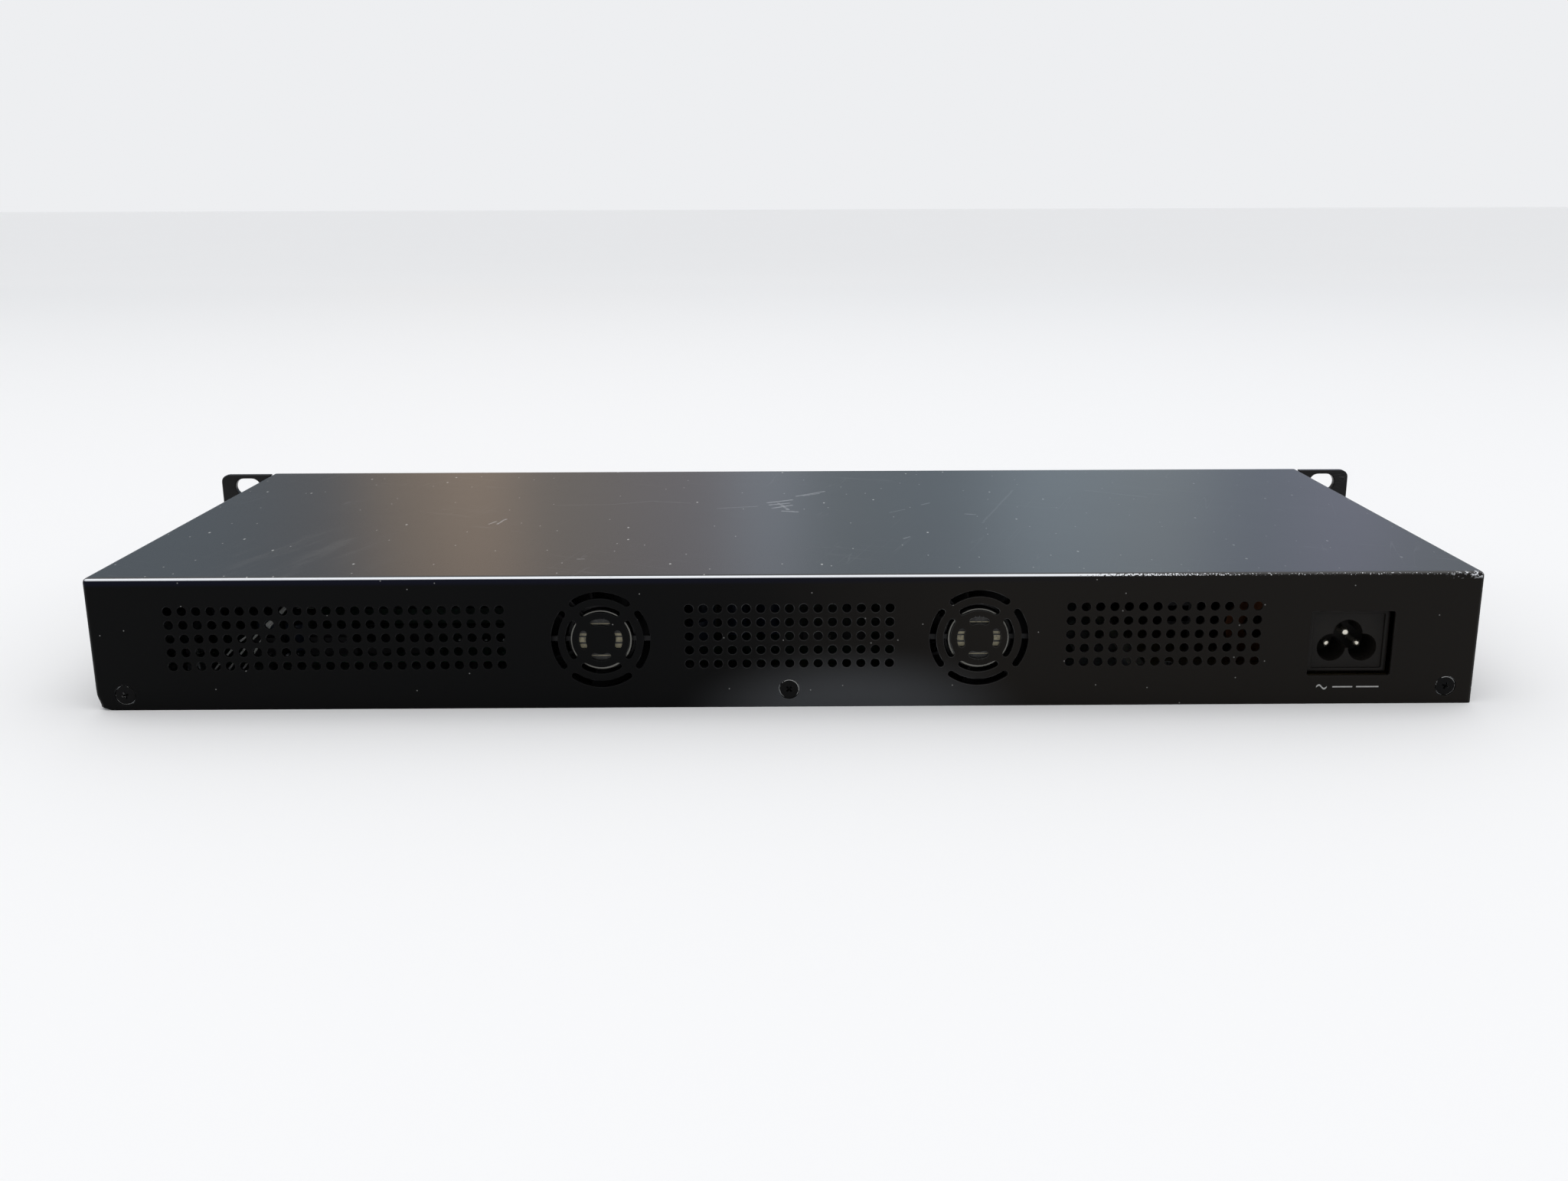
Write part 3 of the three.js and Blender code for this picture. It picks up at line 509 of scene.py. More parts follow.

        # scratches, dust and smudges, and a painted reflection low on the back
        def near(across_wire: Wire, along_wire: Wire, middle: Point, reach: Point) -> Wire:
            """Gives 1 at a place, falling to 0 at the given reach."""
            dx, dy = (across_wire - middle[0]) / reach[0], (along_wire - middle[1]) / reach[1]
            return ((dx * dx + dy * dy) ** 0.5).ramp(1.0, 0.25)

        patchy = kit.noise(45, 2).ramp(0.50, 0.66)
        hair = kit.hairlines(7, -24, 0.006, 26).most(kit.hairlines(9, 71, 0.005, 26)) * patchy * 0.12
        scratched = (self.scratched(kit, x, y, fine).most(hair) * on_top).held()
        left = x.ramp(130, 20) * 0.6 + 0.4
        specks = kit.specks(17, 0.028, 0.32, (1, 2.0, 1), (0, 0, 0)) * left
        specks = specks.most(kit.specks(8, 0.038, 0.22, (1, 2.0, 1), (0, 0, 0)) * left * 0.7)
        back_specks = kit.specks(9, 0.028, 0.22, flat=(90, 0, 0)) * on_back * 0.35
        streaks = kit.noise(5, 4, (1, 7, 1), (0, 0, -18), 0.6).ramp(0.46, 0.70)
        smudge = streaks * near(x, y, (-158, -58), (46, 52)) * on_top
        dusty = (specks * on_top).most(back_specks)
        # painted reflection: a lighter patch low in the middle of the back
        haze = near(x, z, (22, -3), (60, 25)) * on_back

        # painted light: the tone runs from dark and cool on the left to lighter and warmer on the right
        tone = kit.blend((x + clouds * 90).ramp(-10, 130), self.cool, self.warm)
        # painted reflection: a blue sheen in a band just below the back bend, strongest on the left
        tone = kit.blend((z - self.top).ramp(-3.2, -1.6) * (1 - on_top) * x.ramp(150, -60) * 0.8, tone, self.blue)
        tone = kit.blend(haze, tone, self.film)
        tone = kit.blend(smudge * 0.045, tone, self.dust)
        tone = kit.blend((scratched * 0.55).held(), tone, self.primer)
        tone = kit.blend((dusty * 0.7).held(), tone, self.dust)
        # painted highlight on the hole rims
        tone = kit.blend(rims * 0.22, tone, self.primer)
        # bare metal at the right corner, and the painted highlight along the bend
        tone = kit.blend(bare_and_highlight * 0.9, tone, self.metal)
        tone = kit.blend(self.mark(x, y, z) * (0.55 + fine * 0.7).held(), tone, self.ink)

        rough = 0.30 + clouds * 0.05 + smudge * 0.10 + scratched * 0.12 + dusty * 0.4 + bare_and_highlight * 0.04
        rough = rough + (1 - on_top) * 0.10
        height = grain * 0.35 + fine * 0.2 + scratched * -0.5 + bare_and_highlight * -1.0
        normal = kit.bump(height, 0.022)
        ripple = kit.bump(kit.noise(55, 1), 0.035, normal)
        return kit.surface(
            Base_Color=tone,
            Roughness=rough.held(),
            Metallic=bare_and_highlight * 0.8,
            Specular_IOR_Level=0.05,
            Coat_Weight=((on_top * 0.88 + 0.02) * (1 - bare_and_highlight) + rims * 0.3).held(),
            Coat_Roughness=0.24,
            Normal=ripple,
        )


@dataclass(frozen=True)
class SmoothPaint(Finish):
    """Semi-gloss black paint on the ears, with faint scrapes."""

    name: str = "ear_paint"
    paint: Colour = (0.0035, 0.0035, 0.0040)
    rubbed: Colour = (0.20, 0.20, 0.20)

    def dress(self, kit: NodeKit) -> bpy.types.Material:
        """Builds the material's nodes."""
        fine = kit.noise(0.8, 3)
        clouds = kit.noise(12, 3)
        scrape = kit.hairlines(3, 64, 0.012, 10).most(kit.hairlines(3.5, -15, 0.01, 10))
        scrape = scrape * clouds.ramp(0.5, 0.62)
        tone = kit.blend(scrape * 0.12, self.paint, self.rubbed)
        rough = 0.20 + clouds * 0.12 + scrape * 0.2
        normal = kit.bump(fine * 0.6 + clouds * 0.4, 0.02)
        return kit.surface(
            Base_Color=tone,
            Roughness=rough,
            Specular_IOR_Level=0.10,
            Coat_Weight=0.10 + clouds * 0.12,
            Coat_Roughness=0.12,
            Normal=normal,
        )


@dataclass(frozen=True)
class Moulded(Finish):
    """Moulded plastic with a fine grain."""

    name: str
    tone: Colour
    pale: Colour
    rough: float = 0.45
    grain: float = 0.35
    depth: float = 0.015
    specular: float = 0.4

    def dress(self, kit: NodeKit) -> bpy.types.Material:
        """Builds the material's nodes."""
        clouds = kit.noise(9, 4)
        grain = kit.noise(self.grain, 2)
        dust = kit.specks(2.6, 0.06, 0.25)
        tone = kit.blend(clouds.ramp(0.3, 0.75), self.tone, self.pale)
        tone = kit.blend(dust * 0.35, tone, (0.45, 0.44, 0.42))
        rough = self.rough + clouds * 0.12 - 0.06 + dust * 0.2
        normal = kit.bump(grain + clouds * 0.3, self.depth)
        return kit.surface(Base_Color=tone, Roughness=rough.held(), Specular_IOR_Level=self.specular, Normal=normal)


@dataclass(frozen=True)
class Metal(Finish):
    """A metal with fine working marks and a little tarnish."""

    name: str
    tone: Colour
    tarnish: Colour
    rough: float = 0.3
    marks: tuple[float, float, float] = (12.0, 1.0, 1.0)
    mark_size: float = 0.4
    depth: float = 0.006

    def dress(self, kit: NodeKit) -> bpy.types.Material:
        """Builds the material's nodes."""
        marks = kit.noise(self.mark_size, 3, self.marks)
        clouds = kit.noise(7, 4, rough=0.6)
        tone = kit.blend(clouds.ramp(0.45, 0.75) * 0.7, self.tone, self.tarnish)
        rough = self.rough + marks * 0.14 - 0.07 + clouds.ramp(0.5, 0.8) * 0.12
        normal = kit.bump(marks, self.depth)
        return kit.surface(Base_Color=tone, Roughness=rough.held(), Metallic=1.0 - clouds * 0.1, Normal=normal)


@dataclass(frozen=True)
class ScrewPaint(Finish):
    """Black paint on a screw head, with painted highlights: a slightly lighter rim and broken bright glints round it.
    """

    name: str = "black_screw"
    paint: Colour = (0.0030, 0.0030, 0.0031)
    thin: Colour = (0.0070, 0.0070, 0.0068)
    metal: Colour = (0.62, 0.62, 0.61)

    def dress(self, kit: NodeKit) -> bpy.types.Material:
        """Builds the material's nodes."""
        x, y, z = (abs(part) for part in kit.facing())
        grain = kit.noise(0.4, 3)
        edge = x.most(y).most(z).ramp(0.97, 0.86)
        turned = kit.axes()[0].ramp(-190, -150)
        # painted highlight: broken bright glints round the rim, fewer on the screws at the far left
        rim_glints = edge * (kit.noise(3.2, 2) + grain * 0.25 + turned * 0.06).ramp(0.67, 0.72)
        # painted sheen: the rim a little lighter
        tone = kit.blend(edge * 0.6 + grain * 0.3, self.paint, self.thin)
        tone = kit.blend(rim_glints * 0.75, tone, self.metal)
        rough = 0.44 + grain * 0.12 - rim_glints * 0.15
        return kit.surface(
            Base_Color=tone,
            Roughness=rough,
            Metallic=rim_glints * 0.7,
            Specular_IOR_Level=0.06,
            Coat_Weight=edge * 0.05,
            Normal=kit.bump(grain, 0.01),
        )


@dataclass(frozen=True)
class Galvanised(Finish):
    """Zinc-coated sheet with faint crystal spangle and rolling marks."""

    name: str = "galvanised"
    bright: Colour = (0.56, 0.58, 0.59)
    dull: Colour = (0.38, 0.40, 0.42)

    def dress(self, kit: NodeKit) -> bpy.types.Material:
        """Builds the material's nodes."""
        flake = kit.cells(5.5)
        shade = kit.node("ShaderNodeSeparateColor", {}, {0: flake.out("Color")}).out(0)
        clouds = kit.noise(50, 4)
        rolled = kit.noise(0.6, 2, (40, 1, 1))
        scrape = kit.hairlines(6, 12, 0.01, 18) * clouds.ramp(0.45, 0.65)
        tone = kit.blend(shade * 0.6 + clouds * 0.3, self.bright, self.dull)
        rough = 0.34 + shade * 0.1 + clouds * 0.1 - scrape * 0.1
        normal = kit.bump(rolled * 0.6 + shade * 0.4 - scrape, 0.006)
        return kit.surface(Base_Color=tone, Roughness=rough.held(), Metallic=1.0 - clouds * 0.15, Normal=normal)


@dataclass(frozen=True)
class Laminate(Finish):
    """A circuit board's surface: copper tracks seen through its coloured coat."""

    name: str
    coat: Colour
    track: Colour
    pitch: float = 2.6

    def dress(self, kit: NodeKit) -> bpy.types.Material:
        """Builds the material's nodes."""
        x, y, _ = kit.axes()
        regions = kit.cells(17, (1.6, 1, 1))
        picks = kit.node("ShaderNodeSeparateColor", {}, {0: regions.out("Color")})
        wobble = kit.noise(11, 1) * 2.5

        def stripes(value: Wire) -> Wire:
            """Gives parallel tracks across a direction."""
            return ((value + wobble) * (2 * math.pi / self.pitch)).sine().ramp(0.15, 0.45)

        tracks = stripes(x) * picks.out(0).above(0.55) + stripes(y) * picks.out(1).above(0.6) * (1 - picks.out(0).above(0.55))
        pads = kit.specks(3.1, 0.16, 0.35)
        tone = kit.blend(tracks.held() * 0.8, self.coat, self.track)
        tone = kit.blend(pads, tone, (0.52, 0.50, 0.44))
        rough = 0.36 - pads * 0.1 + kit.noise(20, 2) * 0.1
        normal = kit.bump(tracks.held() * 0.6 + pads, 0.03)
        return kit.surface(Base_Color=tone, Roughness=rough, Metallic=pads * 0.8, Normal=normal)


@dataclass(frozen=True)
class Printed(Finish):
    """Ink or paper with uneven cover."""

    name: str
    ink: Colour
    faded: Colour
    rough: float = 0.6

    def dress(self, kit: NodeKit) -> bpy.types.Material:
        """Builds the material's nodes."""
        wear = kit.noise(1.2, 4, rough=0.7)
        fibres = kit.noise(0.25, 2, (3, 1, 1))
        tone = kit.blend(wear.ramp(0.4, 0.7), self.ink, self.faded)
        return kit.surface(
            Base_Color=tone, Roughness=self.rough + fibres * 0.15 - 0.07, Normal=kit.bump(fibres, 0.008)
        )


@dataclass(frozen=True)
class Clear(Finish):
    """Clear or tinted moulded plastic."""

    name: str
    tint: Colour = (0.9, 0.94, 0.95)

    def dress(self, kit: NodeKit) -> bpy.types.Material:
        """Builds the material's nodes."""
        haze = kit.noise(3, 3)
        return kit.surface(
            Base_Color=kit.blend(haze * 0.3, self.tint, (0.75, 0.78, 0.80)),
            Roughness=0.12 + haze * 0.15,
            Transmission_Weight=0.8,
            IOR=1.49,
            Normal=kit.bump(haze, 0.02),
        )


class Look(Enum):
    """Every finish on the appliance."""

    COVER = WornPaint()
    EAR = SmoothPaint()
    TRAY = Galvanised()
    FASCIA = Moulded("fascia_plastic", (0.013, 0.0135, 0.015), (0.019, 0.019, 0.021), 0.5, 0.45, 0.03)
    FAN = Moulded("fan_plastic", (0.0070, 0.0070, 0.0074), (0.011, 0.011, 0.0115), 0.42, 0.3, 0.01, 0.22)
    INLET = Moulded("inlet_plastic", (0.0068, 0.0060, 0.0052), (0.0096, 0.0084, 0.0072), 0.46, 0.35, 0.018, 0.12)
    CHIP = Moulded("chip_black", (0.016, 0.016, 0.018), (0.026, 0.026, 0.028), 0.5, 0.2, 0.01)
    CABLE = Moulded("cable_jacket", (0.012, 0.012, 0.012), (0.02, 0.02, 0.02), 0.55, 0.3, 0.02)
    CREAM = Moulded("connector_cream", (0.62, 0.58, 0.47), (0.70, 0.67, 0.57), 0.42, 0.3, 0.01)
    SLEEVE = Moulded("can_sleeve", (0.014, 0.022, 0.042), (0.022, 0.032, 0.055), 0.3, 0.5, 0.01)
    LEAD = Moulded("lead_jacket", (0.34, 0.35, 0.34), (0.48, 0.49, 0.47), 0.30, 0.4, 0.01)
    TAPE = Moulded("coil_tape", (0.040, 0.034, 0.020), (0.060, 0.050, 0.030), 0.33, 0.4, 0.02)
    INSULATOR = Moulded("insulator", (0.64, 0.62, 0.56), (0.72, 0.70, 0.65), 0.6, 0.3, 0.01)
    BLACK_SCREW = ScrewPaint()
    BRIGHT_SCREW = Metal("zinc_screw", (0.70, 0.71, 0.73), (0.50, 0.49, 0.45), 0.26, (1, 1, 1), 0.4)
    PIN = Metal("pin_metal", (0.72, 0.69, 0.60), (0.48, 0.44, 0.36), 0.2, (1, 8, 1), 0.3)
    SHIELD = Metal("port_shield", (0.66, 0.67, 0.68), (0.48, 0.48, 0.47), 0.27, (1, 10, 1), 0.4)
    RIM = Metal("stator_rim", (0.15, 0.148, 0.135), (0.045, 0.043, 0.038), 0.38, (1, 1, 1), 0.5)
    # painted shade: the heatsinks take a dark metal so that the vents in front of them read as dark as the shade
    # inside
    ANODISED = Metal("black_anodised", (0.030, 0.030, 0.032), (0.045, 0.045, 0.046), 0.42, (1, 14, 1), 0.4)
    ALUMINIUM = Metal("aluminium", (0.68, 0.69, 0.70), (0.52, 0.53, 0.54), 0.34, (1, 14, 1), 0.4)
    GOLD = Metal("contact_gold", (0.83, 0.62, 0.26), (0.62, 0.42, 0.16), 0.2, (1, 8, 1), 0.2)
    COPPER = Metal("winding_copper", (0.11, 0.045, 0.022), (0.06, 0.025, 0.014), 0.34, (1, 1, 1), 0.4)
    MAIN_BOARD = Laminate("main_laminate", (0.006, 0.028, 0.016), (0.010, 0.050, 0.028))
    POWER_BOARD = Laminate("power_laminate", (0.045, 0.032, 0.012), (0.070, 0.050, 0.020), 6.0)
    LABEL = Printed("label_paper", (0.30, 0.27, 0.18), (0.12, 0.108, 0.072))
    INK = Printed("pale_ink", (0.40, 0.40, 0.39), (0.24, 0.24, 0.235))
    DARK_INK = Printed("dark_ink", (0.012, 0.012, 0.012), (0.034, 0.033, 0.030))
    WINDOW = Clear("clear_plastic")

    def material(self) -> bpy.types.Material:
        """Gives the finish's material."""
        return self.value.build()

    def slot(self) -> str:
        """Gives the record's material slot that the finish belongs to."""
        kin = {
            "connector_cream": "insulator",
            "lead_jacket": "cable_jacket",
            "black_anodised": "aluminium",
            "stator_rim": "port_shield",
            "contact_gold": "pin_metal",
            "winding_copper": "pin_metal",
            "pale_ink": "label_paper",
            "dark_ink": "label_paper",
        }
        return kin.get(self.value.name, self.value.name)


# ---------------------------------------------------------------- outlines
class Plane(Enum):
    """The plane that a flat form is drawn in, as the matrix from (across, up, deep) to the frame."""

    BACK = Matrix(((1, 0, 0, 0), (0, 0, 1, 0), (0, 1, 0, 0), (0, 0, 0, 1)))
    FLOOR = Matrix.Identity(4)
    SIDE = Matrix(((0, 0, 1, 0), (1, 0, 0, 0), (0, 1, 0, 0), (0, 0, 0, 1)))


class Pen:
    """Draws a closed outline with arcs and straight runs."""

    def __init__(self, bm: bmesh.types.BMesh, start: Point, level: float) -> None:
        """Puts the pen down.

        Args:
            bm: The mesh to draw in.
            start: Where it starts, across and up.
            level: How deep the outline lies.
        """
        self.bm = bm
        self.level = level
        self.tip = bmesh.ops.create_vert(bm, co=(*start, level))["vert"][0]
        self.first = self.tip

    def arc(self, centre: Point, degrees: float, steps: int) -> "Pen":
        """Goes round a centre.

        Args:
            centre: The centre, across and up.
            degrees: How far it turns, positive anticlockwise.
            steps: How many edges it takes.

        Returns:
            This pen.
        """
        made = bmesh.ops.spin(
            self.bm,
            geom=[self.tip],
            cent=(*centre, self.level),
            axis=(0, 0, 1),
            angle=math.radians(degrees),
            steps=steps,
        )
        self.tip = next(g for g in made["geom_last"] if isinstance(g, bmesh.types.BMVert))
        return self

    def line(self, to: Point) -> "Pen":
        """Goes straight to a point.

        Args:
            to: Where it ends, across and up.

        Returns:
            This pen.
        """
        made = bmesh.ops.create_vert(self.bm, co=(*to, self.level))["vert"][0]
        self.bm.edges.new((self.tip, made))
        self.tip = made
        return self

    def close(self) -> list[bmesh.types.BMEdge]:
        """Joins the end to the start.

        Returns:
            The outline's edges, in no order.
        """
        if (self.tip.co - self.first.co).length < 1e-3:
            bmesh.ops.weld_verts(self.bm, targetmap={self.tip: self.first})
        else:
            self.bm.edges.new((self.tip, self.first))
        return _loop_from(self.first)


def _loop_from(start: bmesh.types.BMVert) -> list[bmesh.types.BMEdge]:
    """Walks a closed outline.

    Args:
        start: Any of its corners.

    Returns:
        Its edges.
    """
    edges = [start.link_edges[0]]
    vert = edges[0].other_vert(start)
    while vert is not start:
        following = next(e for e in vert.link_edges if e is not edges[-1])
        edges.append(following)
        vert = following.other_vert(vert)
    return edges


class Outline:
    """A closed outline that can be drawn again, a little larger or smaller."""

    def draw(self, bm: bmesh.types.BMesh, level: float, grow: float = 0.0) -> list[bmesh.types.BMEdge]:
        """Draws it.

        Args:
            bm: The mesh to draw in.
            level: How deep it lies.
            grow: How far it grows outwards.

        Returns:
            Its edges.
        """
        raise NotImplementedError


@dataclass(frozen=True)
class Circle(Outline):
    """A round outline."""

    centre: Point
    radius: float
    sides: int = 24

    def draw(self, bm: bmesh.types.BMesh, level: float, grow: float = 0.0) -> list[bmesh.types.BMEdge]:
        """Draws it, as any outline."""
        place = Matrix.Translation((*self.centre, level))
        made = bmesh.ops.create_circle(bm, segments=self.sides, radius=self.radius + grow, matrix=place)
        return _loop_from(made["verts"][0])


@dataclass(frozen=True)
class Rectangle(Outline):
    """A rectangle with round corners."""

    low: Point
    high: Point
    corner: float = 0.0
    steps: int = 4
    corners: tuple[float, ...] | None = None

    def draw(self, bm: bmesh.types.BMesh, level: float, grow: float = 0.0) -> list[bmesh.types.BMEdge]:
        """Draws it, as any outline, with its corners anticlockwise from the lowest left."""
        (x0, y0), (x1, y1) = self.low, self.high
        x0, y0, x1, y1 = x0 - grow, y0 - grow, x1 + grow, y1 + grow
        radii = [max(r + grow, 0.02) for r in (self.corners or (self.corner,) * 4)]
        r0, r1, r2, r3 = radii
        pen = Pen(bm, (x0, y0 + r0), level).arc((x0 + r0, y0 + r0), 90, self.steps)
        pen.line((x1 - r1, y0)).arc((x1 - r1, y0 + r1), 90, self.steps)
        pen.line((x1, y1 - r2)).arc((x1 - r2, y1 - r2), 90, self.steps)
        return pen.line((x0 + r3, y1)).arc((x0 + r3, y1 - r3), 90, self.steps).close()


@dataclass(frozen=True)
class Arc(Outline):
    """A curved slot with round ends, round a centre."""

    centre: Point
    ring: float
    width: float
    middle: float
    reach: float
    steps: int = 12

    def draw(self, bm: bmesh.types.BMesh, level: float, grow: float = 0.0) -> list[bmesh.types.BMEdge]:
        """Draws it, as any outline."""
        half = self.width / 2 + grow

        def at(radius: float, degrees: float) -> Point:
            """Gives a point by radius and angle."""
            angle = math.radians(degrees)
            return self.centre[0] + radius * math.cos(angle), self.centre[1] + radius * math.sin(angle)

        first, last = self.middle - self.reach, self.middle + self.reach
        pen = Pen(bm, at(self.ring + half, first), level).arc(self.centre, 2 * self.reach, self.steps)
        pen.arc(at(self.ring, last), 180, 6).arc(self.centre, -2 * self.reach, self.steps)
        return pen.arc(at(self.ring, first), 180, 6).close()


@dataclass(frozen=True)
class Slot(Outline):
    """A straight slot with round ends, long across."""

    centre: Point
    length: float
    width: float

    def draw(self, bm: bmesh.types.BMesh, level: float, grow: float = 0.0) -> list[bmesh.types.BMEdge]:
        """Draws it, as any outline."""
        r = self.width / 2 + grow
        half = (self.length - self.width) / 2
        x, y = self.centre
        pen = Pen(bm, (x + half, y - r), level).arc((x + half, y), 180, 12)
        return pen.line((x - half, y + r)).arc((x - half, y), 180, 12).close()


@dataclass(frozen=True)
class Cross(Outline):
    """A cross, such as a screw's recess."""

    centre: Point
    reach: float
    arm: float

    def draw(self, bm: bmesh.types.BMesh, level: float, grow: float = 0.0) -> list[bmesh.types.BMEdge]:
        """Draws it, as any outline."""
        long, half = self.reach + grow, self.arm / 2 + grow
        x, y = self.centre
        corners = [(long, -half), (long, half), (half, half), (half, long), (-half, long), (-half, half)]
        corners += [(-a, -b) for a, b in corners]
        pen = Pen(bm, (x + corners[0][0], y + corners[0][1]), level)
        for a, b in corners[1:]:
            pen.line((x + a, y + b))
        return pen.close()


@dataclass(frozen=True)
class Clover(Outline):
    """The three-lobed socket: two lobes below and one above."""

    centre: Point
    spread: float = 5.0
    drop: float = -2.3
    lobe: float = 4.5
    rise: float = 2.2
    crown: float = 4.65

    def draw(self, bm: bmesh.types.BMesh, level: float, grow: float = 0.0) -> list[bmesh.types.BMEdge]:
        """Draws it, as any outline."""
        small, big = self.lobe + grow, self.crown + grow
        cx, cy = self.centre
        across, up = self.spread, self.drop - self.rise
        apart = math.hypot(across, up)
        along = (apart**2 + big**2 - small**2) / (2 * apart)
        off = math.sqrt(big**2 - along**2)
        ux, uy = across / apart, up / apart
        top = (cx, cy + self.rise)
        outer = (top[0] + ux * along - uy * off, top[1] + uy * along + ux * off)
        inner = (top[0] + ux * along + uy * off, top[1] + uy * along - ux * off)

        def angle(point: Point, middle: Point) -> float:
            """Gives a point's direction from a centre, in degrees."""
            return math.degrees(math.atan2(point[1] - middle[1], point[0] - middle[0]))

        right = (cx + across, cy + self.drop)
        left = (cx - across, cy + self.drop)
        over = 180 - 2 * angle(outer, top)
        round_lobe = (angle(outer, right) - angle(inner, right)) % 360
        under = (2 * angle(inner, top) - 180) % 360
        pen = Pen(bm, outer, level).arc(top, over, 18).arc(left, round_lobe, 22)
        return pen.arc(top, under, 3).arc(right, round_lobe, 22).close()


# ---------------------------------------------------------------- forms
class Form:
    """A piece under construction, in millimetres."""

    def __init__(self) -> None:
        """Starts an empty form."""
        self.bm = bmesh.new()

    def take(self, part: bmesh.types.BMesh, matrix: Matrix | None = None) -> "Form":
        """Adds a finished part and frees it.

        Args:
            part: The part.
            matrix: How it is placed.

        Returns:
            This form.
        """
        if matrix is not None:
            bmesh.ops.transform(part, matrix=matrix, verts=part.verts[:])
        bmesh.ops.recalc_face_normals(part, faces=part.faces[:])
        _pour(part, self.bm)
        return self

    def block(self, low: Sequence[float], high: Sequence[float], bevel: float = 0.2, segments: int = 2) -> "Form":
        """Adds a block with rounded edges.

        Args:
            low: Its lowest corner.
            high: Its highest corner.
            bevel: The radius of its edges.
            segments: How many faces go round an edge.

        Returns:
            This form.
        """
        part = bmesh.new()
        size = Vector(high) - Vector(low)
        place = Matrix.Translation((Vector(low) + Vector(high)) / 2) @ Matrix.Diagonal((*size, 1))
        bmesh.ops.create_cube(part, size=1, matrix=place)
        if bevel:
            _bevel(part, part.edges[:], min(bevel, min(size) * 0.45), segments)
        return self.take(part)

    def turned(
        self,
        profile: Sequence[Point],
        centre: Sequence[float],
        axis: Plane = Plane.FLOOR,
        steps: int = 32,
        flip: bool = False,
    ) -> "Form":
        """Adds a turned solid. Its axis points out of the plane.

        Args:
            profile: Radius and depth of each corner, from axis to axis or closed on itself.
            centre: Where the axis passes, in the frame.
            axis: The plane that it stands on.
            steps: How many faces go round it.
            flip: Whether the profile's depth runs the other way.

        Returns:
            This form.
        """
        part = bmesh.new()
        sign = -1 if flip else 1
        corners = [bmesh.ops.create_vert(part, co=(r, 0, sign * d))["vert"][0] for r, d in profile]
        runs = [part.edges.new(pair) for pair in zip(corners, corners[1:])]
        if profile[0][0] > 0 and profile[-1][0] > 0:
            runs.append(part.edges.new((corners[-1], corners[0])))
        bmesh.ops.spin(
            part,
            geom=corners + runs,
            cent=(0, 0, 0),
            axis=(0, 0, 1),
            angle=2 * math.pi,
            steps=steps,
            use_merge=True,
        )
        bmesh.ops.remove_doubles(part, verts=part.verts[:], dist=1e-4)
        return self.take(part, Matrix.Translation(centre) @ axis.value)

    def plate(
        self,
        outline: Outline,
        holes: Iterable[Outline],
        start: float,
        end: float,
        plane: Plane = Plane.BACK,
        chamfer: float = 0.15,
        offset: Sequence[float] = (0, 0, 0),
    ) -> "Form":
        """Adds a flat plate with holes, its rims chamfered.

        Args:
            outline: Its outer outline.
            holes: The outlines of its holes.
            start: Where its first face lies.
            end: Where its second face lies.
            plane: The plane that the outlines are drawn in.
            chamfer: The chamfer's width.
            offset: How far the plate is moved, in the frame.

        Returns:
            This form.
        """
        part = bmesh.new()
        levels = [(start, chamfer), (start + chamfer, 0.0), (end - chamfer, 0.0), (end, chamfer)]
        levels = levels if chamfer else [(start, 0.0), (end, 0.0)]
        faces: tuple[list, list] = ([], [])
        for loop, sign in [(outline, -1), *((hole, 1) for hole in holes)]:
            rings = [loop.draw(part, level, sign * grow) for level, grow in levels]
            for first, second in zip(rings, rings[1:]):
                bmesh.ops.bridge_loops(part, edges=first + second)
            faces[0].extend(rings[0])
            faces[1].extend(rings[-1])
        for rims in faces:
            bmesh.ops.triangle_fill(part, use_beauty=True, use_dissolve=False, edges=rims)
        return self.take(part, Matrix.Translation(offset) @ plane.value)

    def wire(self, points: Sequence[Sequence[float]], radius: float, sides: int = 2) -> "Form":
        """Adds a round wire along a smooth route.

        Args:
            points: The route.
            radius: The wire's radius.
            sides: A quarter of the faces round it, less one.

        Returns:
            This form.
        """
        curve = bpy.data.curves.new("wire", "CURVE")
        curve.dimensions = "3D"
        curve.bevel_depth = radius
        curve.bevel_resolution = sides
        curve.use_fill_caps = True
        spline = curve.splines.new("NURBS")
        spline.points.add(len(points) - 1)
        for point, place in zip(spline.points, points):
            point.co = (*place, 1)
        spline.use_endpoint_u = True
        spline.order_u = 3
        spline.resolution_u = 5
        holder = bpy.data.objects.new("wire", curve)
        mesh = holder.to_mesh()
        part = bmesh.new()
        part.from_mesh(mesh)
        holder.to_mesh_clear()
        bpy.data.objects.remove(holder)
        bpy.data.curves.remove(curve)
        bmesh.ops.remove_doubles(part, verts=part.verts[:], dist=1e-4)
        return self.take(part)

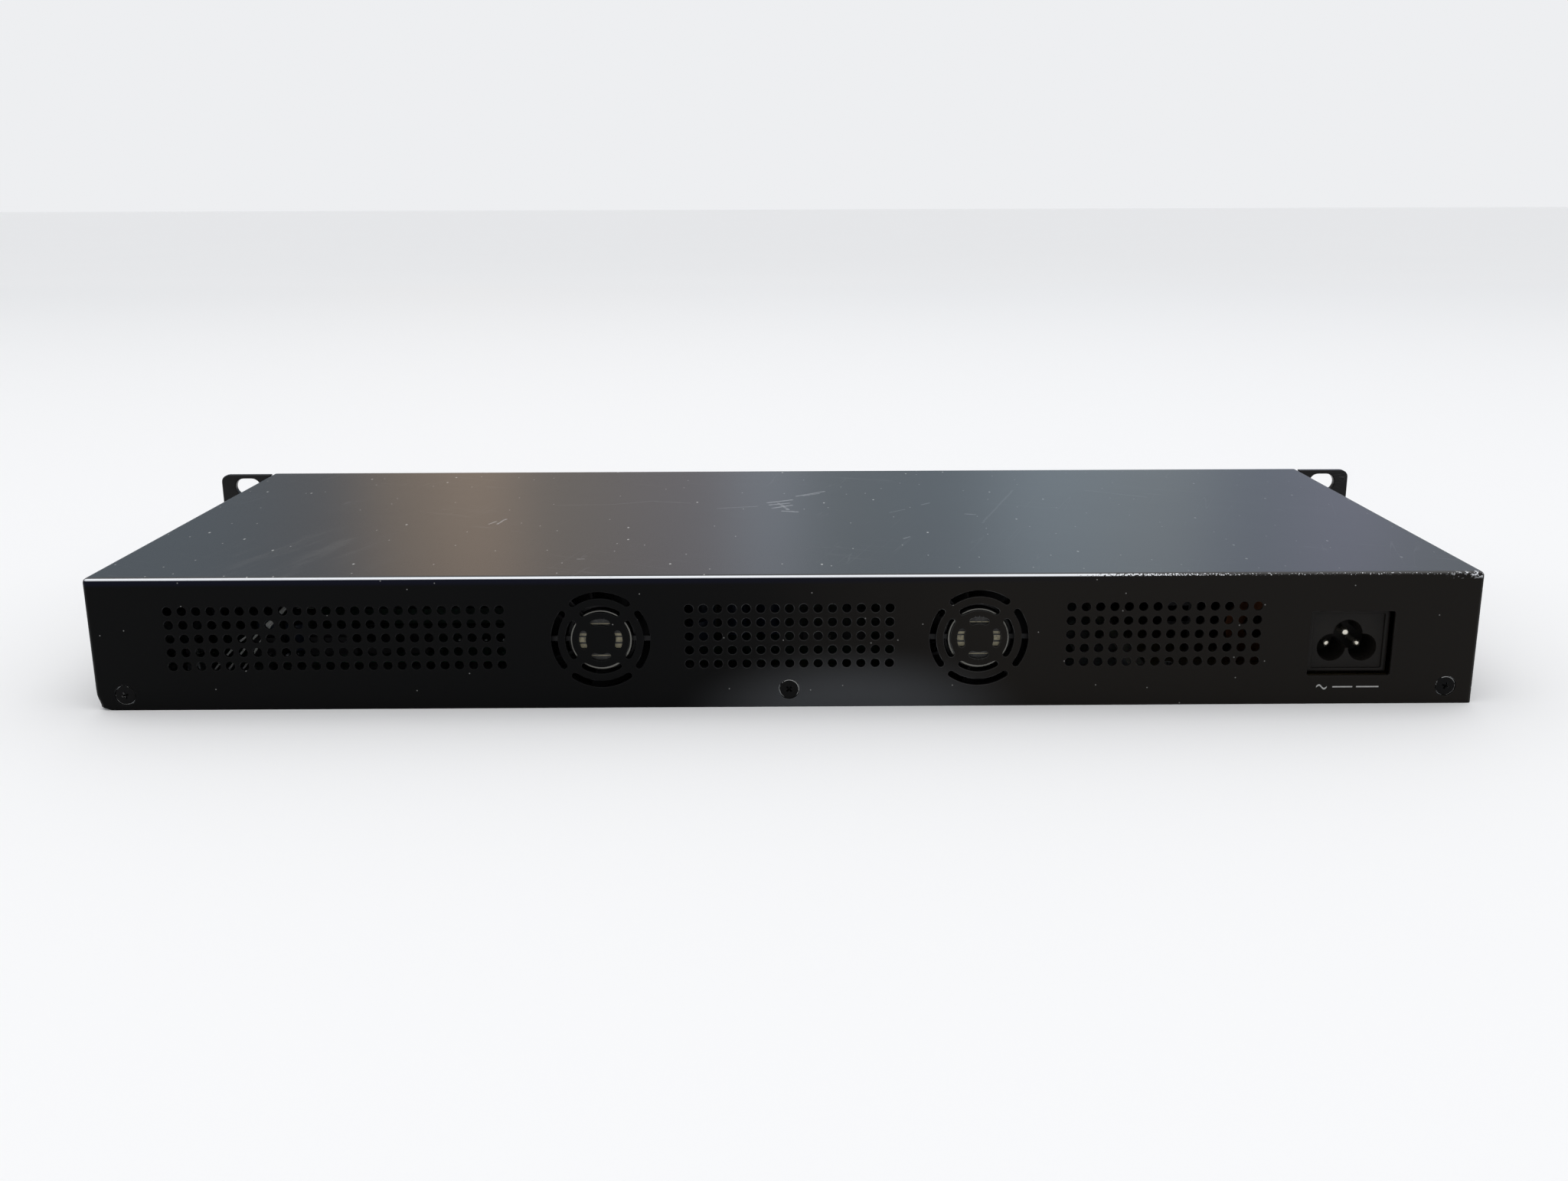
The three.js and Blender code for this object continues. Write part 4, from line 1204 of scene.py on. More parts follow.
    def hand_over(
        self,
        name: str,
        look: Look,
        body: str = CHASSIS,
        replaces: Sequence[str] = (),
    ) -> bpy.types.Object:
        """Ends the form as a piece that rides on a body.

        Args:
            name: The piece's name.
            look: Its finish.
            body: The body that it rides on.
            replaces: The frame's nodes that it stands for.

        Returns:
            The piece.
        """
        bm = self.bm
        for face in bm.faces:
            face.smooth = True
        for edge in bm.edges:
            edge.smooth = len(edge.link_faces) == 2 and edge.calc_face_angle(math.pi) < math.radians(50)
        bmesh.ops.scale(bm, vec=(MM, MM, MM), verts=bm.verts[:])
        mesh = bpy.data.meshes.new(name)
        bm.to_mesh(mesh)
        bm.free()
        piece = bpy.data.objects.new(name, mesh)
        bpy.context.scene.collection.objects.link(piece)
        mesh.materials.append(look.material())
        shading = piece.modifiers.new("even_shading", "WEIGHTED_NORMAL")
        shading.keep_sharp = True
        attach(piece, body)
        if replaces:
            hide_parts(*replaces)
        LOG.info("%s: %d faces, rides on %s", name, len(mesh.polygons), body)
        return piece


def _pour(part: bmesh.types.BMesh, bm: bmesh.types.BMesh, places: Iterable[Matrix] = (Matrix.Identity(4),)) -> None:
    """Adds copies of a part to a mesh and frees the part.

    Args:
        part: The part.
        bm: The mesh that receives it.
        places: Where each copy goes.
    """
    original = bpy.data.meshes.new("part")
    part.to_mesh(original)
    part.free()
    for place in places:
        copy = original.copy()
        copy.transform(place)
        bm.from_mesh(copy)
        bpy.data.meshes.remove(copy)
    bpy.data.meshes.remove(original)


def _bevel(bm: bmesh.types.BMesh, edges: Sequence[bmesh.types.BMEdge], offset: float, segments: int) -> None:
    """Rounds edges.

    Args:
        bm: The mesh.
        edges: The edges.
        offset: The radius.
        segments: How many faces go round each.
    """
    bmesh.ops.bevel(
        bm,
        geom=list(edges),
        offset=offset,
        offset_type="OFFSET",
        segments=segments,
        profile=0.5,
        affect="EDGES",
        material=-1,
    )


# ---------------------------------------------------------------- cover
@dataclass
class Cover:
    """The folded sheet: top, both sides and the perforated back. It is drawn as (across, up, deep)."""

    half_width: float = 220.0
    back: float = -87.5
    front: float = 87.0
    top: float = 43.5
    sheet: float = 1.0
    bend: float = 1.6
    rim: float = 0.14
    vent_pitch: float = 4.53
    vent_radius: float = 1.5
    vent_rows: int = 5
    vent_middle: float = 23.6
    vent_fields: tuple[tuple[float, int], ...] = ((-194.3, 24), (-30.6, 15), (90.2, 14))
    fans: Point = (-58.6, 61.1)
    grille_height: float = 22.6
    grille_rings: tuple[float, ...] = (5.8, 10.15, 14.65)
    grille_slot: float = 2.15
    grille_spoke: float = 2.6
    inlet: Rectangle = Rectangle((166.15, 9.45), (192.85, 30.75), 0.7, 3)
    screws: tuple[Point, ...] = ((-210.5, 5.0), (0.9, 5.9), (211.0, 5.8))
    side_holes: tuple[tuple[float, float, float], ...] = (
        (-60.0, 7.5, 3.35),
        (50.0, 11.3, 1.85),
        (66.0, 33.3, 1.85),
    )
    cuts_across: tuple[float, ...] = (-217.4, -216.2, -214.9, 217.0)
    cuts_up: tuple[float, ...] = (0.9, 2.0, 3.4, 5.0, 7.0, 9.0, 41.0)
    cuts_deep: tuple[float, ...] = (-85.2, -84.2, -82.8, 85.5)
    dent_reach: float = 5.6
    dent_depth: Point = (1.5, 1.25)

    def _skin(self, bm: bmesh.types.BMesh, inset: float) -> None:
        """Draws one skin of the folded sheet, with windows left in its back and sides.

        Args:
            bm: The mesh to draw in.
            inset: How far the skin lies inside the outer one.
        """
        skin = bmesh.new()
        half, top, back = self.half_width - inset, self.top - inset, self.back + inset
        middle = (0, top / 2, (self.front + back) / 2)
        place = Matrix.Translation(middle) @ Matrix.Diagonal((2 * half, top, self.front - back, 1))
        bmesh.ops.create_cube(skin, size=1, matrix=place)
        skin.normal_update()
        open_faces = [f for f in skin.faces if f.normal.y < -0.9 or f.normal.z > 0.9]
        bmesh.ops.delete(skin, geom=open_faces, context="FACES")
        _bevel(skin, [e for e in skin.edges if len(e.link_faces) == 2], self.bend - inset, 5)
        for axis, cuts in enumerate((self.cuts_across, self.cuts_up, self.cuts_deep)):
            normal = Vector([float(i == axis) for i in range(3)])
            for cut in cuts:
                everything = skin.verts[:] + skin.edges[:] + skin.faces[:]
                bmesh.ops.bisect_plane(skin, geom=everything, plane_co=normal * cut, plane_no=normal, dist=1e-5)
        skin.normal_update()
        windows = []
        for face in skin.faces:
            middle = face.calc_center_median()
            high = self.cuts_up[0] < middle.y < self.cuts_up[-1]
            behind = face.normal.z < -0.999 and self.cuts_across[2] < middle.x < self.cuts_across[3]
            beside = abs(face.normal.x) > 0.999 and self.cuts_deep[2] < middle.z < self.cuts_deep[3]
            if high and (behind or beside):
                windows.append(face)
        bmesh.ops.delete(skin, geom=windows, context="FACES")
        _pour(skin, bm)

    def _vents(self, bm: bmesh.types.BMesh) -> None:
        """Lays out the vents as a grid of square cells, each with its chamfered hole."""
        half = self.vent_pitch / 2
        steps = [-half, -half / 2, 0, half / 2]
        ring = [(u, -half) for u in steps] + [(half, v) for v in steps]
        ring += [(-u, half) for u in steps] + [(-half, -v) for v in steps]
        levels = (self.back, self.back + self.sheet)
        low = self.vent_middle - (self.vent_rows - 1) / 2 * self.vent_pitch
        cell = bmesh.new()
        squares = []
        for level in levels:
            pen = Pen(cell, ring[0], level)
            for corner in ring[1:]:
                pen.line(corner)
            squares.append(pen.close())
        hole = Circle((0, 0), self.vent_radius, 16)
        mouth = [hole.draw(cell, self.back, self.rim), hole.draw(cell, self.back + self.rim)]
        rings = [squares[0], *mouth, hole.draw(cell, levels[1]), squares[1]]
        for first, second in zip(rings, rings[1:]):
            bmesh.ops.bridge_loops(cell, edges=first + second)
        places = [
            Matrix.Translation((first + column * self.vent_pitch, low + row * self.vent_pitch, 0))
            for first, columns in self.vent_fields
            for column in range(columns)
            for row in range(self.vent_rows)
        ]
        _pour(cell, bm, places)
        bmesh.ops.remove_doubles(bm, verts=bm.verts[:], dist=1e-3)

    def _openings(self) -> list[Outline]:
        """Lists the grille slots, the inlet's opening and the screw holes."""
        slots = []
        for x in self.fans:
            for ring in self.grille_rings:
                reach = 45 - math.degrees(math.asin((self.grille_spoke + self.grille_slot) / 2 / ring))
                turns = (0, 90, 180, 270)
                centre = (x, self.grille_height)
                slots += [Arc(centre, ring, self.grille_slot, turn, reach) for turn in turns]
        return slots + [self.inlet] + [Circle(place, 3.35, 32) for place in self.screws]

    def _side_mouths(self, bm: bmesh.types.BMesh) -> None:
        """Draws the screw holes through both sides."""
        for side in (-1, 1):
            for deep, up, radius in self.side_holes:
                hole = bmesh.new()
                ring = Circle((0, 0), radius, 28)
                rings = [ring.draw(hole, self.half_width), ring.draw(hole, self.half_width - self.sheet)]
                bmesh.ops.bridge_loops(hole, edges=rings[0] + rings[1])
                _pour(hole, bm, [Matrix(((0, 0, side, 0), (0, 1, 0, up), (1, 0, 0, deep), (0, 0, 0, 1)))])

    def _fill(self, bm: bmesh.types.BMesh) -> None:
        """Fills the flat sheet between the window edges and the holes, on both skins."""
        inner = self.sheet
        spans = [(2, self.back), (2, self.back + inner)]
        spans += [(0, side * (self.half_width - i)) for side in (-1, 1) for i in (0, inner)]
        for axis, level in spans:
            edges = [
                e
                for e in bm.edges
                if len(e.link_faces) == 1
                and all(abs(v.co[axis] - level) < 1e-4 and v.co.y > 0.5 and v.co.z < self.front - 1 for v in e.verts)
            ]
            bmesh.ops.triangle_fill(bm, use_beauty=True, use_dissolve=False, edges=edges)

    def _dent(self, bm: bmesh.types.BMesh) -> None:
        """Pushes in the lower left corner, where the unit was once dropped."""
        corner = Vector((-self.half_width, 0, self.back))
        for vert in bm.verts:
            near = 1 - (vert.co - corner).length / self.dent_reach
            if near > 0:
                vert.co.x += self.dent_depth[0] * near**1.3
                vert.co.y += self.dent_depth[1] * near**1.3

    def build(self) -> None:
        """Makes the cover and hands it over."""
        bm = bmesh.new()
        self._skin(bm, 0.0)
        self._skin(bm, self.sheet)
        self._vents(bm)
        for outline in self._openings():
            hole = bmesh.new()
            rings = [outline.draw(hole, self.back, self.rim), outline.draw(hole, self.back + self.rim)]
            rings.append(outline.draw(hole, self.back + self.sheet))
            for first, second in zip(rings, rings[1:]):
                bmesh.ops.bridge_loops(hole, edges=first + second)
            _pour(hole, bm)
        self._side_mouths(bm)
        self._fill(bm)
        rims = [e for e in bm.edges if len(e.link_faces) == 1]
        bmesh.ops.bridge_loops(bm, edges=rims)
        self._dent(bm)
        form = Form().take(bm, Plane.BACK.value)
        form.hand_over("folded_cover", Look.COVER, replaces=["top_cover"])


# ---------------------------------------------------------------- screws and ears
@dataclass
class FlatScrew:
    """A countersunk screw with a cross recess."""

    head: float = 3.08
    shank: float = 1.55
    length: float = 5.9
    recess: float = 1.15
    arm: float = 0.62

    def add(self, form: Form, place: Sequence[float], matrix: Matrix, turn: float) -> None:
        """Adds one screw to a form.

        Args:
            form: The form.
            place: The middle of the head's face, in the frame.
            matrix: From (across, up, inwards) to the frame.
            turn: How far the recess is turned, in degrees.
        """
        bm = bmesh.new()
        rim = Circle((0, 0), self.head, 32)
        rings = [rim.draw(bm, 0, -0.25), rim.draw(bm, 0.18), rim.draw(bm, 0.95), rim.draw(bm, 2.3, -1.5)]
        rings.append(rim.draw(bm, self.length, -1.55))
        cross = Cross((0, 0), self.recess, self.arm)
        cuts = [cross.draw(bm, 0), cross.draw(bm, 1.1, -0.12)]
        for first, second in [*zip(rings, rings[1:]), tuple(cuts)]:
            bmesh.ops.bridge_loops(bm, edges=first + second)
        bmesh.ops.triangle_fill(bm, use_beauty=True, use_dissolve=False, edges=rings[0] + cuts[0])
        bmesh.ops.holes_fill(bm, edges=cuts[1] + rings[-1], sides=0)
        spin = Matrix.Rotation(math.radians(turn), 4, "Z")
        form.take(bm, Matrix.Translation(place) @ matrix @ spin)


@dataclass
class Fasteners:
    """Every countersunk screw that shows."""

    back_face: float = -87.4
    side_face: float = 219.9
    ear_face: float = 222.2
    ear_middle: float = 22.3
    back_places: dict[str, Point] = field(
        default_factory=lambda: {"left": (-210.5, 5.0), "middle": (0.9, 5.9), "right": (211.0, 5.8)}
    )
    back_turns: dict[str, float] = field(default_factory=lambda: {"left": 21.0, "middle": 44.0, "right": 68.0})
    ear_places: tuple[Point, ...] = ((50.0, -11.0), (66.0, 11.0))

    def build(self) -> None:
        """Makes each screw as a piece of its own."""
        screw = FlatScrew()
        for label, (x, z) in self.back_places.items():
            form = Form()
            screw.add(form, (x, self.back_face, z), Plane.BACK.value, self.back_turns[label])
            form.hand_over(f"back_screw_{label}", Look.BLACK_SCREW, replaces=[f"rear_screw_{label}"])
        for label, side in (("left", -1), ("right", 1)):
            inwards = Matrix(((0, 0, -side, 0), (1, 0, 0, 0), (0, 1, 0, 0), (0, 0, 0, 1)))
            form = Form()
            screw.add(form, (side * self.side_face, -60, 7.5), inwards, 12)
            form.hand_over(f"flank_screw_{label}", Look.BLACK_SCREW, replaces=[f"side_screw_{label}"])
            for index, (y, rise) in enumerate(self.ear_places, 1):
                form = Form()
                screw.add(form, (side * self.ear_face, y, self.ear_middle + rise), inwards, 30 * index)
                node = f"ear_screw_{label}_{index}"
                form.hand_over(f"ear_fixing_{label}_{index}", Look.BLACK_SCREW, replaces=[node])


@dataclass
class Ear:
    """A rack ear: a slotted plate with a flange along the cover's side."""

    side: int
    inner: float = 220.3
    outer: float = 241.3
    plate: tuple[float, float] = (84.5, 87.5)
    low: float = 1.3
    high: float = 43.3
    corner: float = 3.0
    flange: float = 2.0
    flange_back: float = 38.0
    slot_from_edge: float = 11.0
    slot_heights: Point = (6.425, 38.175)
    slot_size: Point = (10.6, 7.2)

    def build(self) -> None:
        """Makes the ear and hands it over."""
        label = "left" if self.side < 0 else "right"
        edges = sorted((self.side * self.inner, self.side * self.outer))
        near_side, far_side = 0.3, self.corner
        order = (far_side, near_side, near_side, far_side) if self.side < 0 else (near_side, far_side, far_side, near_side)
        outline = Rectangle((edges[0], self.low), (edges[1], self.high), corners=order, steps=6)
        across = self.side * (self.outer - self.slot_from_edge)
        slots = [Slot((across, up), *self.slot_size) for up in self.slot_heights]
        form = Form().plate(outline, slots, *self.plate, chamfer=0.35)
        flange_line = Rectangle((self.flange_back, self.low + 2), (self.plate[1] - 1, self.high - 2), 1.5, 4)
        screws = Fasteners()
        holes = [Circle((y, screws.ear_middle + rise), 3.3, 28) for y, rise in screws.ear_places]
        depth = sorted((self.side * self.inner, self.side * (self.inner + self.flange)))
        form.plate(flange_line, holes, *depth, plane=Plane.SIDE, chamfer=0.3)
        form.hand_over(f"ear_bracket_{label}", Look.EAR, replaces=[f"rack_ear_{label}"])


# ---------------------------------------------------------------- fans
@dataclass
class Fan:
    """A 40 mm fan: its frame, the stator that faces the grille, and its impeller."""

    label: str
    x: float
    height: float = 22.2
    back: float = -86.0
    depth: float = 20.0
    half: float = 20.0
    corner: float = 3.0
    flange: float = 3.2
    bore: float = 18.5
    barrel: float = 19.6
    screw_spacing: float = 16.0
    stator: float = 9.8
    stator_depth: float = 2.6
    strut_angles: tuple[float, ...] = (0.0, 130.0, 180.0, 310.0)
    strut_span: Point = (1.6, 2.6)
    strut_width: float = 1.9
    hub: float = 11.0
    blade_tip: float = 18.0
    blades: int = 7
    rotor: tuple[float, float] = (-82.8, -67.2)

    def _frame(self) -> None:
        """Makes the flanged frame with its barrel, struts and stator disc."""
        centre = (self.x, self.height)
        low = (self.x - self.half, self.height - self.half)
        high = (self.x + self.half, self.height + self.half)
        outline = Rectangle(low, high, self.corner, 5)
        gap = self.screw_spacing
        corners = [(self.x + i * gap, self.height + j * gap) for i in (-1, 1) for j in (-1, 1)]
        holes = [Circle(centre, self.bore, 56), *(Circle(place, 1.8, 20) for place in corners)]
        form = Form()
        front = self.back + self.depth
        for start, end in ((self.back, self.back + self.flange), (front - self.flange, front)):
            form.plate(outline, holes, start, end, chamfer=0.25)
        mouth = self.bore + 0.6
        wall = [(mouth, 0.0), (self.bore, 1.2), (self.bore, self.depth - 1.2), (mouth, self.depth)]
        wall += [(self.barrel, self.depth), (self.barrel, 0.0)]
        axis = (self.x, self.back, self.height)
        form.turned(wall, axis, Plane.BACK, 56)
        s, d = self.stator, self.stator_depth
        disc = [(0, 0.7), (s - 0.95, 0.7), (s - 0.95, 0.1), (s - 0.15, 0.0), (s, 0.2), (s, d - 0.2), (s - 0.2, d), (0, d)]
        form.turned(disc, axis, Plane.BACK, 48)
        form.turned([(0, d), (2.6, d), (2.2, self.depth - 6), (0, self.depth - 6)], axis, Plane.BACK, 20)
        for degrees in self.strut_angles:
            strut = bmesh.new()
            reach = self.bore - s + 1.6
            start, end = self.strut_span
            middle = Matrix.Translation((s - 0.8 + reach / 2, 0, (start + end) / 2))
            size = Matrix.Diagonal((reach, self.strut_width, end - start, 1))
            bmesh.ops.create_cube(strut, size=1, matrix=middle @ size)
            _bevel(strut, strut.edges[:], 0.3, 2)
            turn = Matrix.Rotation(math.radians(degrees), 4, "Z")
            form.take(strut, Matrix.Translation(axis) @ Plane.BACK.value @ turn)
        form.hand_over(f"fan_{self.label}_housing", Look.FAN, replaces=[f"fan_{self.label}_frame"])

    def _rim(self) -> None:
        """Makes the bright edge ring of the stator."""
        s = self.stator
        ring = [(s - 0.9, 0.0), (s - 0.65, -0.1), (s - 0.25, -0.1), (s - 0.05, 0.06), (s - 0.05, 0.5), (s - 0.9, 0.5)]
        form = Form().turned(ring, (self.x, self.back, self.height), Plane.BACK, 48)
        form.hand_over(f"fan_{self.label}_stator_rim", Look.RIM)

    def _sticker(self) -> None:
        """Makes the paper label with its plain printed bars."""
        axis = (self.x, self.back + 0.15, self.height)
        paper = [(0, 0.0), (8.3, 0.0), (8.4, 0.05), (8.4, 0.2), (0, 0.2)]
        form = Form().turned(paper, axis, Plane.BACK, 40)
        form.hand_over(f"fan_{self.label}_sticker", Look.LABEL, replaces=[f"fan_{self.label}_label"])
        form = Form()
        level = self.back + 0.12
        bars = [(4.0, 5.2, 5.6), (5.5, 6.9, 4.4), (-5.0, -3.9, 5.2), (-6.9, -5.3, 3.6), (2.2, 3.3, 7.4), (-3.3, -2.6, 7.0)]
        bars += [(0.9, 1.4, 7.8), (-1.3, -0.7, 7.8)]
        for low, high, reach in bars:
            outline = Rectangle((self.x - reach, self.height + low), (self.x + reach, self.height + high), 0.15, 2)
            form.plate(outline, [], level, level + 0.04, chamfer=0)
        form.plate(Circle((self.x, self.height), 2.4, 28), [], level, level + 0.04, chamfer=0)
        form.hand_over(f"fan_{self.label}_sticker_print", Look.DARK_INK)

    def _impeller(self) -> None:
        """Makes the hub cup and its twisted blades, which turn together."""
        back, front = self.rotor
        long = front - back
        form = Form()
        cup = [(0, long), (self.hub - 1.2, long), (self.hub - 0.35, long - 0.15), (self.hub, long - 0.9)]
        cup += [(self.hub, 0.25), (self.hub - 0.25, 0), (self.hub - 1.0, 0), (self.hub - 1.2, 0.3)]
        cup += [(self.hub - 1.2, long - 1.4), (0, long - 1.4)]
        axis = (self.x, back, self.height)
        form.turned(cup, axis, Plane.BACK, 44)
        blade = bmesh.new()
        steps = 6
        row = [self.hub - 0.3 + (self.blade_tip - self.hub + 0.3) * i / steps for i in range(steps + 1)]
        verts = [bmesh.ops.create_vert(blade, co=(r, -0.05 * max(r - self.hub, 0.0) ** 1.5, 1.2))["vert"][0] for r in row]
        edges = [blade.edges.new(pair) for pair in zip(verts, verts[1:])]
        rise = (long - 3.0) / 8
        bmesh.ops.spin(
            blade,
            geom=verts + edges,
            cent=(0, 0, 0),
            axis=(0, 0, 1),
            dvec=(0, 0, rise),
            angle=math.radians(50),
            steps=8,
        )
        bmesh.ops.recalc_face_normals(blade, faces=blade.faces[:])
        bmesh.ops.solidify(blade, geom=blade.faces[:], thickness=0.9)
        turns = [Matrix.Rotation(2 * math.pi * i / self.blades, 4, "Z") for i in range(self.blades)]
        fanned = bmesh.new()
        _pour(blade, fanned, turns)
        form.take(fanned, Matrix.Translation(axis) @ Plane.BACK.value)
        form.hand_over(
            f"fan_{self.label}_rotor_blades",
            Look.FAN,
            f"fan_{self.label}_rotor",
            [f"fan_{self.label}_impeller"],
        )

    def build(self) -> None:
        """Makes the fan's pieces in order."""
        self._frame()
        self._rim()
        self._sticker()
        self._impeller()


# ---------------------------------------------------------------- mains inlet
@dataclass
class MainsInlet:
    """The three-lobed mains socket, set back behind its opening."""

    x: float = 179.5
    z: float = 20.1
    face: float = -84.7
    width: float = 25.5
    height: float = 20.3
    step_width: float = 22.6
    step_height: float = 18.1
    step: float = 0.7
    cavity: float = 12.5
    depth: float = 22.0
    line: tuple[float, float, float, float] = (1.2, 5.0, -2.3, 4.7)
    earth: tuple[float, float, float, float] = (1.3, 0.0, 2.1, 2.3)

    def _rectangle(self, width: float, height: float, corner: float) -> Rectangle:
        """Gives a rectangle round the inlet's middle."""
        low = (self.x - width / 2, self.z - height / 2)
        return Rectangle(low, (self.x + width / 2, self.z + height / 2), corner, 4)

    def _housing(self) -> None:
        """Makes the moulded housing with its stepped face and lobed cavity."""
        outside = self._rectangle(self.width, self.height, 0.8)
        inside = self._rectangle(self.step_width, self.step_height, 0.5)
        form = Form().plate(outside, [inside], self.face, self.face + self.step, chamfer=0.2)
        clover = Clover((self.x, self.z))
        floor = self.face + self.cavity
        form.plate(outside, [clover], self.face + self.step, self.face + 4, chamfer=0.12)
        body = self._rectangle(self.width - 2.4, self.height - 2.4, 1.2)
        form.plate(body, [clover], self.face + 4, floor, chamfer=0)
        form.plate(body, [], floor, self.face + self.depth, chamfer=0.5)
        for side in (-1, 1):
            latch = (self.x + side * (self.width / 2 - 1.2), self.face + 4, self.z - 4)
            reach = sorted((latch[0], latch[0] + side * 1.1))
            form.block((reach[0], latch[1], latch[2]), (reach[1], latch[1] + 6, latch[2] + 8), 0.3)
        form.hand_over("inlet_housing", Look.INLET, replaces=["mains_inlet"])

    def _pin(self, name: str, radius: float, dx: float, dz: float, recess: float) -> None:
        """Makes one contact pin with a domed tip.

        Args:
            name: Which pin it is.
            radius: Its radius.
            dx: How far it stands to the right of the middle.
            dz: How far it stands above the middle.
            recess: How far its tip lies behind the face.
        """
        tip = self.face + recess
        long = self.face + self.depth + 4.5 - tip
        r = radius
        profile = [(0, 0), (r * 0.42, 0.07), (r * 0.75, 0.32), (r * 0.94, 0.72), (r, 1.3), (r, long - 0.3)]
        profile += [(r - 0.3, long), (0, long)]
        form = Form().turned(profile, (self.x + dx, tip, self.z + dz), Plane.BACK, 28)
        form.hand_over(f"inlet_pin_{name}", Look.PIN, replaces=[f"mains_pin_{name}"])

    def build(self) -> None:
        """Makes the inlet's pieces in order."""
        self._housing()
        radius, dx, dz, recess = self.line
        self._pin("live", radius, dx, dz, recess)
        self._pin("neutral", radius, -dx, dz, recess)
        self._pin("earth", *self.earth)


# ---------------------------------------------------------------- front
@dataclass(frozen=True)
class JackMouth(Outline):
    """The mouth of a network socket, with its latch notch below."""

    x: float
    low: float
    width: float = 11.7
    height: float = 7.0
    notch_width: float = 6.2
    notch_height: float = 2.4

    def draw(self, bm: bmesh.types.BMesh, level: float, grow: float = 0.0) -> list[bmesh.types.BMEdge]:
        """Draws it, as any outline."""
        wide, narrow = self.width / 2 + grow, self.notch_width / 2 + grow
        base, foot, head = self.low - grow, self.low - self.notch_height - grow, self.low + self.height + grow
        corners = [(-wide, base), (-narrow, base), (-narrow, foot), (narrow, foot), (narrow, base)]
        corners += [(wide, base), (wide, head), (-wide, head)]
        pen = Pen(bm, (self.x + corners[0][0], corners[0][1]), level)
        for across, up in corners[1:]:
            pen.line((self.x + across, up))
        return pen.close()


@dataclass
class JackBlock:
    """Network sockets in one shielded block, with their contacts and pairs of small lamps."""

    name: str
    node: str
    middle: float
    count: int = 4
    pitch: float = 14.0
    wall: float = 1.15
    base: float = 7.9
    height: float = 13.4
    face: float = 86.9
    cavity: float = 14.5
    depth: float = 21.0
    mouth_low: float = 11.9
    contacts: int = 8
    contact_pitch: float = 1.02

    def _centres(self) -> list[float]:
        """Gives the middle of each socket."""
        return [self.middle + (i - (self.count - 1) / 2) * self.pitch for i in range(self.count)]

    def build(self) -> None:
        """Makes the shield, liners, contacts and lamps."""
        half = (self.pitch * self.count + self.wall) / 2
        low, high = (self.middle - half, self.base), (self.middle + half, self.base + self.height)
        outline = Rectangle(low, high, 0.4, 3)
        mouths = [JackMouth(x, self.mouth_low) for x in self._centres()]
        floor = self.face - self.cavity
        form = Form().plate(outline, mouths, floor, self.face, chamfer=0.25)
        form.plate(outline, [], self.face - self.depth, floor, chamfer=0.25)
        for x in self._centres():
            for side in (-1, 1):
                spring = (x + side * 5.2 - 0.9, self.face - 9, self.base + self.height - 0.05)
                form.block(spring, (spring[0] + 1.8, self.face - 2, spring[2] + 0.22), 0.08)
        form.hand_over(self.name, Look.SHIELD, replaces=[self.node])
        liner, gold, lamps = Form(), Form(), Form()
        places: list[Matrix] = []
        for x in self._centres():
            outer = JackMouth(x, self.mouth_low + 0.02, 11.66, 6.96, 6.16, 2.38)
            inner = JackMouth(x, self.mouth_low + 0.45, 10.8, 6.1, 5.3, 2.4)
            liner.plate(outer, [inner], floor + 0.05, self.face - 0.9, chamfer=0)
            liner.plate(outer, [], floor + 0.02, floor + 1.2, chamfer=0)
            first = x - (self.contacts - 1) / 2 * self.contact_pitch
            for index in range(self.contacts):
                across = first + index * self.contact_pitch
                places.append(Matrix.Translation((across, self.face - 7.6, self.mouth_low + 4.7)))
            for side in (-1, 1):
                corner = (x + side * 4.35 - 1.0, self.face - 0.6, self.mouth_low + self.height - 6.3)
                lamps.block(corner, (corner[0] + 2.0, self.face + 0.12, corner[2] + 1.0), 0.15)
        contact, contacts = bmesh.new(), bmesh.new()
        tilt = Matrix.Rotation(math.radians(-20), 4, "X")
        bmesh.ops.create_cube(contact, size=1, matrix=tilt @ Matrix.Diagonal((0.45, 8.5, 0.3, 1)))
        _pour(contact, contacts, places)
        gold.take(contacts)
        liner.hand_over(self.name + "_liners", Look.CHIP)
        gold.hand_over(self.name + "_contacts", Look.GOLD)
        lamps.hand_over(self.name + "_lamps", Look.WINDOW)


@dataclass
class StackedUsb:
    """Two flat data sockets, one above the other, in one shell."""

    x: float = 34.0
    base: float = 7.9
    width: float = 13.4
    height: float = 15.6
    face: float = 86.9
    depth: float = 17.5
    cavity: float = 12.0
    mouth: Point = (12.3, 5.1)
    lows: Point = (9.1, 17.1)

    def build(self) -> None:
        """Makes the shell, the tongues and their contacts."""
        half = self.width / 2
        outline = Rectangle((self.x - half, self.base), (self.x + half, self.base + self.height), 0.5, 4)
        wide = self.mouth[0] / 2
        mouths = [Rectangle((self.x - wide, low), (self.x + wide, low + self.mouth[1]), 0.4, 3) for low in self.lows]
        floor = self.face - self.cavity
        form = Form().plate(outline, mouths, floor, self.face, chamfer=0.22)
        form.plate(outline, [], self.face - self.depth, floor, chamfer=0.2)
        form.hand_over("usb_shell", Look.SHIELD, replaces=["usb_port"])
        tongues, gold = Form(), Form()
        for low in self.lows:
            shelf = low + 2.9
            tongues.block((self.x - 5.6, floor, shelf), (self.x + 5.6, self.face - 1.2, shelf + 1.8), 0.25)
            for index in range(4):
                across = self.x - 3.6 + 2.4 * index
                gold.block((across - 0.5, floor + 1, shelf - 0.14), (across + 0.5, self.face - 1.9, shelf + 0.2), 0)
        tongues.hand_over("usb_tongues", Look.CHIP)
        gold.hand_over("usb_contacts", Look.GOLD)


